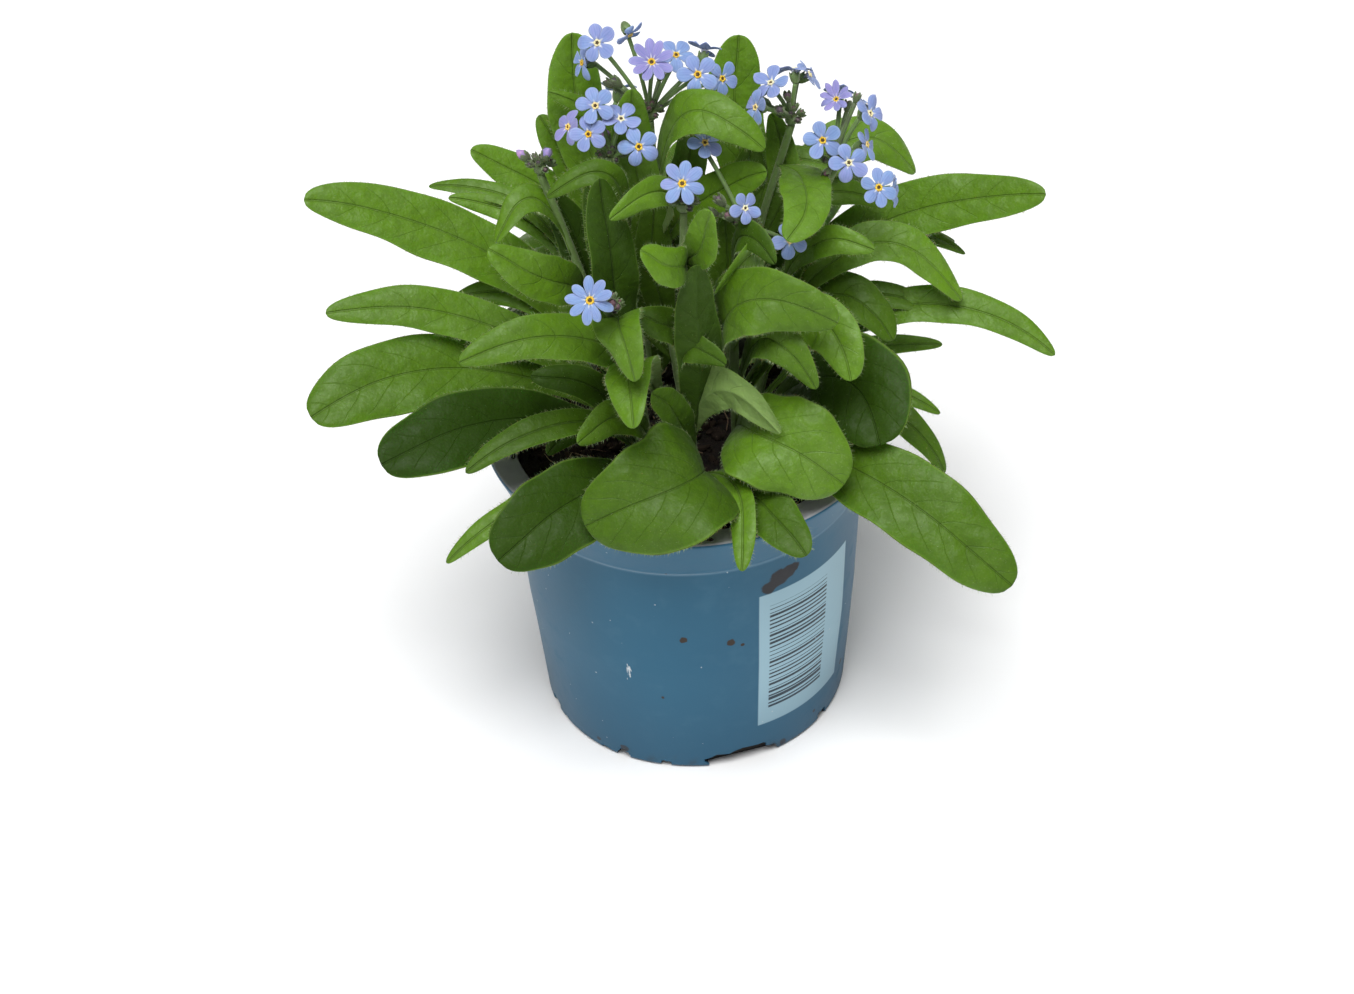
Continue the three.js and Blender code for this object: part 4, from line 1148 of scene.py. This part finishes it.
def bud_material(settings):
    """Bud: dark olive while closed, lilac and pink where the colour shows."""
    material, tree = new_material("bud")
    show, _, seed = tree.parts("tint")
    patch = tree.mottle(900.0)
    flush = tree.mix(settings.lilac, (seed, settings.pink), (patch * 0.4, settings.deep_blue))
    closed = tree.mix((0.05, 0.04, 0.035), (seed, (0.16, 0.075, 0.07)))
    return finish(material, tree, {
        "Base Color": tree.mix(closed, (tree.step(show, 0.05, 0.6), flush)), "Sheen Weight": 0.15,
        "Roughness": 0.5 + patch * 0.15, "Normal": tree.effect("grain", scale=3000.0, depth=0.00008)})


def pot_material(settings):
    """Pot: grey lip and inner wall, and outside a thin blue printed wrap with a pale panel of plain
    bars, rubbed spots, specks of earth and a dirty foot. Painted shade darkens the wrap towards the foot,
    the inner wall above the soil and the hidden faces inside the wall and in the notches, and a painted
    highlight runs along the collar's crease."""
    material, tree = new_material("pot wall")
    place = tree.place()
    x, y, z = tree.split("SeparateXYZ", {"Vector": place})
    radius = tree.math("SQRT", x * x + y * y)
    around = tree.math("ARCTAN2", y, x) * np.degrees(1)
    cloud, rub = tree.mottle(18.0, 0.3, 0.7, 4.0), tree.mottle(170.0, 0.5, 0.8, 6.0)

    def band(value, low, high, soft):
        return tree.step(value, low - soft, low + soft) * tree.step(value, high + soft, high - soft)

    def spot(azimuth, level, wide, tall, ragged=1.6):
        return tree.effect("spot", around=around, height=z, azimuth=azimuth, level=level, wide=wide,
                           tall=tall, ragged=ragged)

    count = z / settings.bar_pitch
    dice = tree.add("TexWhiteNoise", "Value", {"W": tree.math("FLOOR", count)}, noise_dimensions="1D")
    part = tree.math("CEIL", dice * 3.2) * 0.2
    field = band(around, -64.0, -39.0, 0.25) * band(z, 0.0174, 0.0553, 0.00012)
    bars = tree.math("LESS_THAN", tree.math("FRACT", count), part) * field
    panel = band(around, -68.0, -27.0, 0.25) * band(z, 0.0123, 0.0598, 0.0002)
    thin = tree.add("Mapping", "Vector", {"Vector": place, "Scale": (1900.0, 1900.0, 260.0)})
    streak = tree.step(tree.noise(thin, 1.0, 4.0), 0.52, 0.62)
    pale = tree.effect("specks", scale=260.0, size=0.05, share=0.55)
    earth = tree.effect("specks", scale=150.0, size=0.04, share=0.2)
    wrap = tree.mix(
        settings.wrap_blue, (cloud * 0.6, settings.wrap_deep), (rub * 0.1, (0.16, 0.28, 0.36)),
        (panel, settings.panel_blue), (bars * 0.97, (0.02, 0.027, 0.036)),
        *((spot(*lobe, 0.55), (0.02, 0.02, 0.024)) for lobe in BLOT),
        *((spot(azimuth, level, size, size), DIRT) for azimuth, level, size in SPOTS),
        (spot(-114.0, 0.0345, 0.0011, 0.0032) * streak, (0.6, 0.64, 0.66)),
        (pale * 0.6, (0.6, 0.66, 0.68)), (earth * 0.9, DIRT),
        # painted shade: the wrap darkens towards the foot, from 34 mm down
        (tree.step(z, 0.034, 0.0) * 0.35, (0.014, 0.062, 0.115)),
        (tree.step(z, 0.007, 0.0005) * rub * 0.7, DIRT),
        # painted highlight: a lighter line along the crease where the collar meets the body
        (band(z, 0.0712, 0.0722, 0.0004) * 0.3, (0.2, 0.34, 0.44)),
    )
    inside = tree.step(radius, 0.0456, 0.0449) * tree.step(z, 0.086, 0.0835)
    smear = tree.mottle(90.0, 0.38, 0.62, 7.0)
    outer = tree.step(radius, 0.0460, 0.0464) * tree.step(z - radius * 0.174, 0.0767, 0.0764)
    wall = tree.math("MINIMUM", z * 0.08807 + 0.04113, z * 0.056 + 0.042284)
    skin, below = tree.step(wall - radius, 0.0008, 0.0005), tree.step(z, 0.0722, 0.0715)
    wrapped = tree.math("MAXIMUM", outer, below * skin)
    grey = tree.mix(
        # painted shade: the inner wall above the soil darkened nearly to black
        settings.lip_grey, (cloud, (0.3, 0.31, 0.33)), (inside * 0.8, (0.03, 0.032, 0.036)),
        # smear is dirt, more of it inside; below the collar every face off the outer skin, the inner wall,
        # the bottom and the cut faces of the notches, is painted near black as shade
        (smear * (0.1 + inside * 0.6), DIRT), (below * (1.0 - skin) * 0.9, (0.012, 0.012, 0.013)),
    )
    height = cloud * 0.5 + earth * 1.5
    return finish(material, tree, {
        "Base Color": tree.mix(grey, (wrapped, wrap)), "Specular IOR Level": 0.24,
        "Roughness": 0.5 - wrapped * 0.1 + (cloud * 0.08 + rub * 0.14),
        "Normal": tree.effect("grain", scale=700.0, depth=0.00012, height=height)})


def soil_material(settings):
    """Soil: peat, from near black to brown by crumb, with pale flecks and a coarse dull surface."""
    material, tree = new_material("peat")
    patch = tree.mottle(260.0, 0.35, 0.7, 6.0)
    fleck = tree.effect("specks", scale=600.0, size=0.1, share=0.06)
    base = tree.mix(
        settings.dark, (patch, settings.brown), (tree.parts("tint")[0] * 0.45, (0.06, 0.037, 0.023)),
        (fleck * 0.6, (0.32, 0.26, 0.17)),
    )
    return finish(material, tree, {
        "Base Color": base, "Roughness": 0.82 + patch * 0.15, "Specular IOR Level": 0.25,
        "Normal": tree.effect("grain", scale=1500.0, depth=0.0005, height=patch, strength=0.9)})


def root_material():
    """Roots and straw: brown to straw by root, uneven."""
    material, tree = new_material("roots and straw")
    share = tree.parts("tint")[0] * (0.5 + tree.mottle(700.0) * 0.5)
    base = tree.mix((0.09, 0.05, 0.03), (share, (0.42, 0.32, 0.19)))
    return finish(material, tree, {"Base Color": base, "Roughness": 0.75})


def floor_material(settings):
    """Studio floor: one pale colour, very slightly uneven."""
    material, tree = new_material("studio floor")
    base = tree.mix(settings.floor, (tree.mottle(2.0), [0.985 * value for value in settings.floor]))
    return finish(material, tree, {"Base Color": base, "Roughness": 0.9, "Specular IOR Level": 0.1})


# Settings, operators and panel


def length_setting(name, default, about, **limits):
    """A length in metres."""
    return FloatProperty(
        name=name, description=about, default=default, unit="LENGTH", precision=5, **limits)


def colour_setting(name, default, about):
    """A linear colour."""
    return FloatVectorProperty(name=name, description=about, default=default, subtype="COLOR", min=0, max=1)


def number_setting(name, default, about, **limits):
    """A count."""
    return IntProperty(name=name, description=about, default=default, min=0, **limits)


def strength_setting(name, default, about):
    """The strength of a light."""
    return FloatProperty(name=name, description=about, default=default, min=0)


class PLANT_PG_pot(bpy.types.PropertyGroup):
    height: length_setting("Height", HIGH.z - LOW.z, "Height of the pot over the floor", min=0.01)
    bar_pitch: length_setting("Bar pitch", 0.00138, "Distance between bars on the panel", min=0.0004)
    ripple: length_setting("Ripple", 0.00012, "How far the thin wall wanders from round")
    wrap_blue: colour_setting("Wrap", (0.024, 0.116, 0.198), "Blue of the printed wrap")
    wrap_deep: colour_setting("Wrap, deep", (0.02, 0.1, 0.178), "Deeper blue in the wrap's clouds")
    panel_blue: colour_setting("Panel", (0.31, 0.48, 0.565), "Pale blue of the panel")
    lip_grey: colour_setting("Lip", (0.5, 0.5, 0.53), "Grey of the bare plastic")


class PLANT_PG_soil(bpy.types.PropertyGroup):
    lumps: length_setting("Lumps", 0.0011, "Height of the soil's lumps")
    crumbs: number_setting("Crumbs", 900, "Number of loose crumbs", max=3000)
    roots: number_setting("Roots", 70, "Number of fine roots and straws", max=400)
    dark: colour_setting("Dark", (0.006, 0.0045, 0.0035), "Darkest earth")
    brown: colour_setting("Brown", (0.02, 0.013, 0.009), "Lighter earth")


class PLANT_PG_leaves(bpy.types.PropertyGroup):
    thickness: length_setting("Thickness", 0.0004, "Thickness of a blade", min=0.0001)
    hair_length: length_setting("Hair length", 0.0010, "Length of the longest margin hairs")
    hair_gap: length_setting("Hair gap", 0.00045, "Distance between hairs on a margin", min=0.0002)
    light_green: colour_setting("Light green", (0.105, 0.222, 0.007), "Young leaves")
    dark_green: colour_setting("Dark green", (0.019, 0.046, 0.003), "Old leaves")
    vein_green: colour_setting("Vein green", (0.16, 0.27, 0.045), "Leaf stalk and margin")
    underside: colour_setting("Underside", (0.22, 0.32, 0.11), "Lower face of a leaf")


class PLANT_PG_flowers(bpy.types.PropertyGroup):
    petal_thickness: length_setting("Petal thickness", 0.0003, "Thickness of a petal", min=0.0001)
    blue: colour_setting("Blue", (0.226, 0.345, 0.61), "Sky blue of an open flower")
    deep_blue: colour_setting("Deep blue", (0.12, 0.2, 0.43), "Lines and deeper petals")
    lilac: colour_setting("Lilac", (0.31, 0.26, 0.56), "Young and double flowers")
    pale_edge: colour_setting("Pale edge", (0.39, 0.47, 0.69), "Edge of a petal")
    pink: colour_setting("Pink", (0.55, 0.25, 0.5), "Opening buds")


class PLANT_PG_stage(bpy.types.PropertyGroup):
    floor: colour_setting("Floor", (0.92, 0.92, 0.92), "Colour of the floor")
    sky: strength_setting("Surroundings", 0.075, "Strength of the pale surroundings")
    key: strength_setting("Key", 3.75, "Strength of the soft overhead light")
    fill: strength_setting("Fill", 0.32, "Strength of the soft front light")
    back: strength_setting("Back", 0.55, "Strength of the soft light from behind")


class PLANT_PG_all(bpy.types.PropertyGroup):
    pot: PointerProperty(type=PLANT_PG_pot, name="Pot", description="Pot and its printed wrap")
    soil: PointerProperty(type=PLANT_PG_soil, name="Soil", description="Earth in the pot")
    leaves: PointerProperty(type=PLANT_PG_leaves, name="Leaves", description="Leafy stems")
    flowers: PointerProperty(type=PLANT_PG_flowers, name="Flowers", description="Flowers and buds")
    stage: PointerProperty(type=PLANT_PG_stage, name="Stage", description="Floor, lights and camera")


class PLANT_OT_pot(bpy.types.Operator):
    """Build the thin-walled pot with its rolled lip and the notches round its foot"""

    bl_idname = "plant.pot"
    bl_label = "Pot"

    def execute(self, context):
        settings = context.scene.forget_me_not.pot
        outline = np.array(POT_OUTLINE, float)
        outline[:, 1] *= settings.height / MM / outline[:, 1].max()
        shape = Shape()
        lathe(shape, split_long(rounded_outline(outline, 0.7), 4.0), 360, settings.ripple / MM)
        cutter = Shape()
        notch_cutters(cutter)
        body, tool = link_object("uncut", shape.mesh("uncut")), link_object("cutter", cutter.mesh("cutter"))
        cut = body.modifiers.new("notches", "BOOLEAN")
        cut.operation, cut.solver, cut.object = "DIFFERENCE", "EXACT", tool
        context.view_layer.update()
        mesh = bpy.data.meshes.new_from_object(body.evaluated_get(context.evaluated_depsgraph_get()))
        for item in (body, tool):
            bpy.data.objects.remove(item)
        mesh.name = "pot_wall"
        mesh.set_sharp_from_angle(angle=np.radians(38))
        mesh.materials.clear()
        place_piece(mesh, [pot_material(settings)], "pot", "pot")
        return {"FINISHED"}


class PLANT_OT_soil(bpy.types.Operator):
    """Fill the pot with lumpy peat, loose crumbs, fine roots and straw"""

    bl_idname = "plant.soil"
    bl_label = "Soil"

    def execute(self, context):
        settings = context.scene.forget_me_not.soil
        rng = np.random.default_rng(SOIL_SEED)
        shape = Shape()
        add_soil_body(shape, settings)
        add_crumbs(shape, settings, rng)
        add_roots(shape, settings, rng)
        place_piece(shape.mesh("soil_bed"), [soil_material(settings), root_material()], "soil", "soil")
        return {"FINISHED"}


class PLANT_OT_leafy_stems(bpy.types.Operator):
    """Grow the ten leafy stems, each with its blades, leaf stalks, veins and hairs"""

    bl_idname = "plant.leafy_stems"
    bl_label = "Leafy stems"

    def execute(self, context):
        settings = context.scene.forget_me_not.leaves
        skin = stem_material("stem skin", (0.115, 0.2, 0.045), (0.095, 0.13, 0.045))
        materials = [leaf_material(settings), skin, hair_material()]
        for number, stem in enumerate(STEMS):
            rng = np.random.default_rng(LEAF_SEED + number)
            shape = Shape()
            add_stem(shape, stem, settings, rng)
            for leaf in stem_leaves(stem):
                seed = rng.random()
                add_leaf(shape, leaf, seed, settings)
                add_leaf_hairs(shape, leaf, seed, settings, rng)
            mesh = shape.mesh("foliage_" + stem, flat_slots=(2,))
            place_piece(mesh, materials, "leaves", "leafy_stem_" + stem)
        return {"FINISHED"}


class PLANT_OT_flowers(bpy.types.Operator):
    """Grow the ten bunches of flowers, each with its stalks, calyces, petals, eyes and buds"""

    bl_idname = "plant.flowers"
    bl_label = "Flowers"

    def execute(self, context):
        settings = context.scene.forget_me_not.flowers
        calyx = stem_material("calyx skin", (0.13, 0.225, 0.06), (0.075, 0.085, 0.05))
        materials = [petal_material(settings), eye_material(), throat_material(), calyx,
                     bud_material(settings), bpy.data.materials.get("plant hairs") or hair_material()]
        for number, stem in enumerate(STEMS):
            shape = Shape()
            add_bunch(shape, stem, settings, np.random.default_rng(FLOWER_SEED + number))
            mesh = shape.mesh("bloom_" + stem, flat_slots=(5,))
            place_piece(mesh, materials, "petals", "flowers_" + stem)
        return {"FINISHED"}


class PLANT_OT_stage(bpy.types.Operator):
    """Lay the pale floor and set the soft lights and the camera"""

    bl_idname = "plant.stage"
    bl_label = "Stage"

    def execute(self, context):
        settings = context.scene.forget_me_not.stage
        shape = Shape()
        x, y = np.meshgrid(*[np.linspace(-9000, 9000, 13)] * 2, indexing="ij")
        points = np.stack([x, y, np.full_like(x, -0.05)], -1).reshape(-1, 3)
        corner = (13 * np.arange(12)[:, None] + np.arange(12)).ravel()
        shape.add(points, [np.stack([corner, corner + 13, corner + 14, corner + 1], -1)])
        mesh = shape.mesh("studio_floor")
        mesh.materials.append(floor_material(settings))
        floor = link_object("studio_floor", mesh)
        world = bpy.data.worlds.new("pale surroundings")
        world.use_nodes = True
        background = world.node_tree.nodes["Background"].inputs
        background["Color"].default_value = (1, 1, 1, 1)
        tree = Tree(world.node_tree)
        seen = tree.add("LightPath", "Is Camera Ray")
        tree.put(background["Strength"], tree.math("MAXIMUM", seen, settings.sky))
        context.scene.world = world
        add_light("key", (-0.1, -0.42, 1.08), settings.key, 38)
        add_light("fill", (-0.25, -1.0, 0.6), settings.fill, 38)
        add_light("back", (0.35, 0.85, 0.75), settings.back, 50)
        add_camera()
        context.scene.view_settings.view_transform = "Standard"
        return {"FINISHED"}


def aim(item, right, up, back, place):
    """Sets an object's axes and place."""
    turn = np.eye(4)
    turn[:3] = np.stack([right, up, back, place], -1)
    item.matrix_world = Matrix(turn.tolist())


def add_light(name, source, strength, angle):
    """Even, wide soft light that comes from the direction of source, angle degrees across."""
    light = bpy.data.lights.new(name, "SUN")
    light.energy, light.angle = strength, np.radians(angle)
    back = unit(np.array(source))
    side = unit(np.cross(UP, back))
    aim(link_object(name, light), side, np.cross(back, side), back, source)


def add_camera():
    """Camera 85 cm from the pot's foot and 41.5 degrees above the floor, as in the photograph."""
    data = bpy.data.cameras.new("camera")
    data.lens, data.sensor_width = 80.64, 36.0
    camera = link_object("camera", data)
    ahead = heading(90.27, -38.3)
    right = unit(np.cross(ahead, UP))
    up = np.cross(right, ahead)
    c, s = np.cos(np.radians(2.8)), np.sin(np.radians(2.8))
    aim(camera, c * right - s * up, s * right + c * up, -ahead, (0.0, -0.6366, 0.5632))
    bpy.context.scene.camera = camera


OPERATORS = (PLANT_OT_pot, PLANT_OT_soil, PLANT_OT_leafy_stems, PLANT_OT_flowers, PLANT_OT_stage)


class PLANT_PT_panel(bpy.types.Panel):
    """Lists the settings and the pieces"""

    bl_label = "Forget-me-not"
    bl_idname = "PLANT_PT_panel"
    bl_space_type = "VIEW_3D"
    bl_region_type = "UI"
    bl_category = "Forget-me-not"

    def draw(self, context):
        everything = context.scene.forget_me_not
        for name, operator in zip(("pot", "soil", "leaves", "flowers", "stage"), OPERATORS):
            box = self.layout.box()
            part = getattr(everything, name)
            for setting in part.__annotations__:
                box.prop(part, setting)
            box.operator(operator.bl_idname)


CLASSES = (
    PLANT_PG_pot, PLANT_PG_soil, PLANT_PG_leaves, PLANT_PG_flowers, PLANT_PG_stage, PLANT_PG_all,
    *OPERATORS, PLANT_PT_panel,
)


def register():
    for kind in CLASSES:
        bpy.utils.register_class(kind)
    bpy.types.Scene.forget_me_not = PointerProperty(type=PLANT_PG_all)


def unregister():
    del bpy.types.Scene.forget_me_not
    for kind in reversed(CLASSES):
        bpy.utils.unregister_class(kind)


def main():
    register()
    bpy.ops.plant.pot()
    bpy.ops.plant.soil()
    bpy.ops.plant.leafy_stems()
    bpy.ops.plant.flowers()
    bpy.ops.plant.stage()


if __name__ == "__main__":
    main()
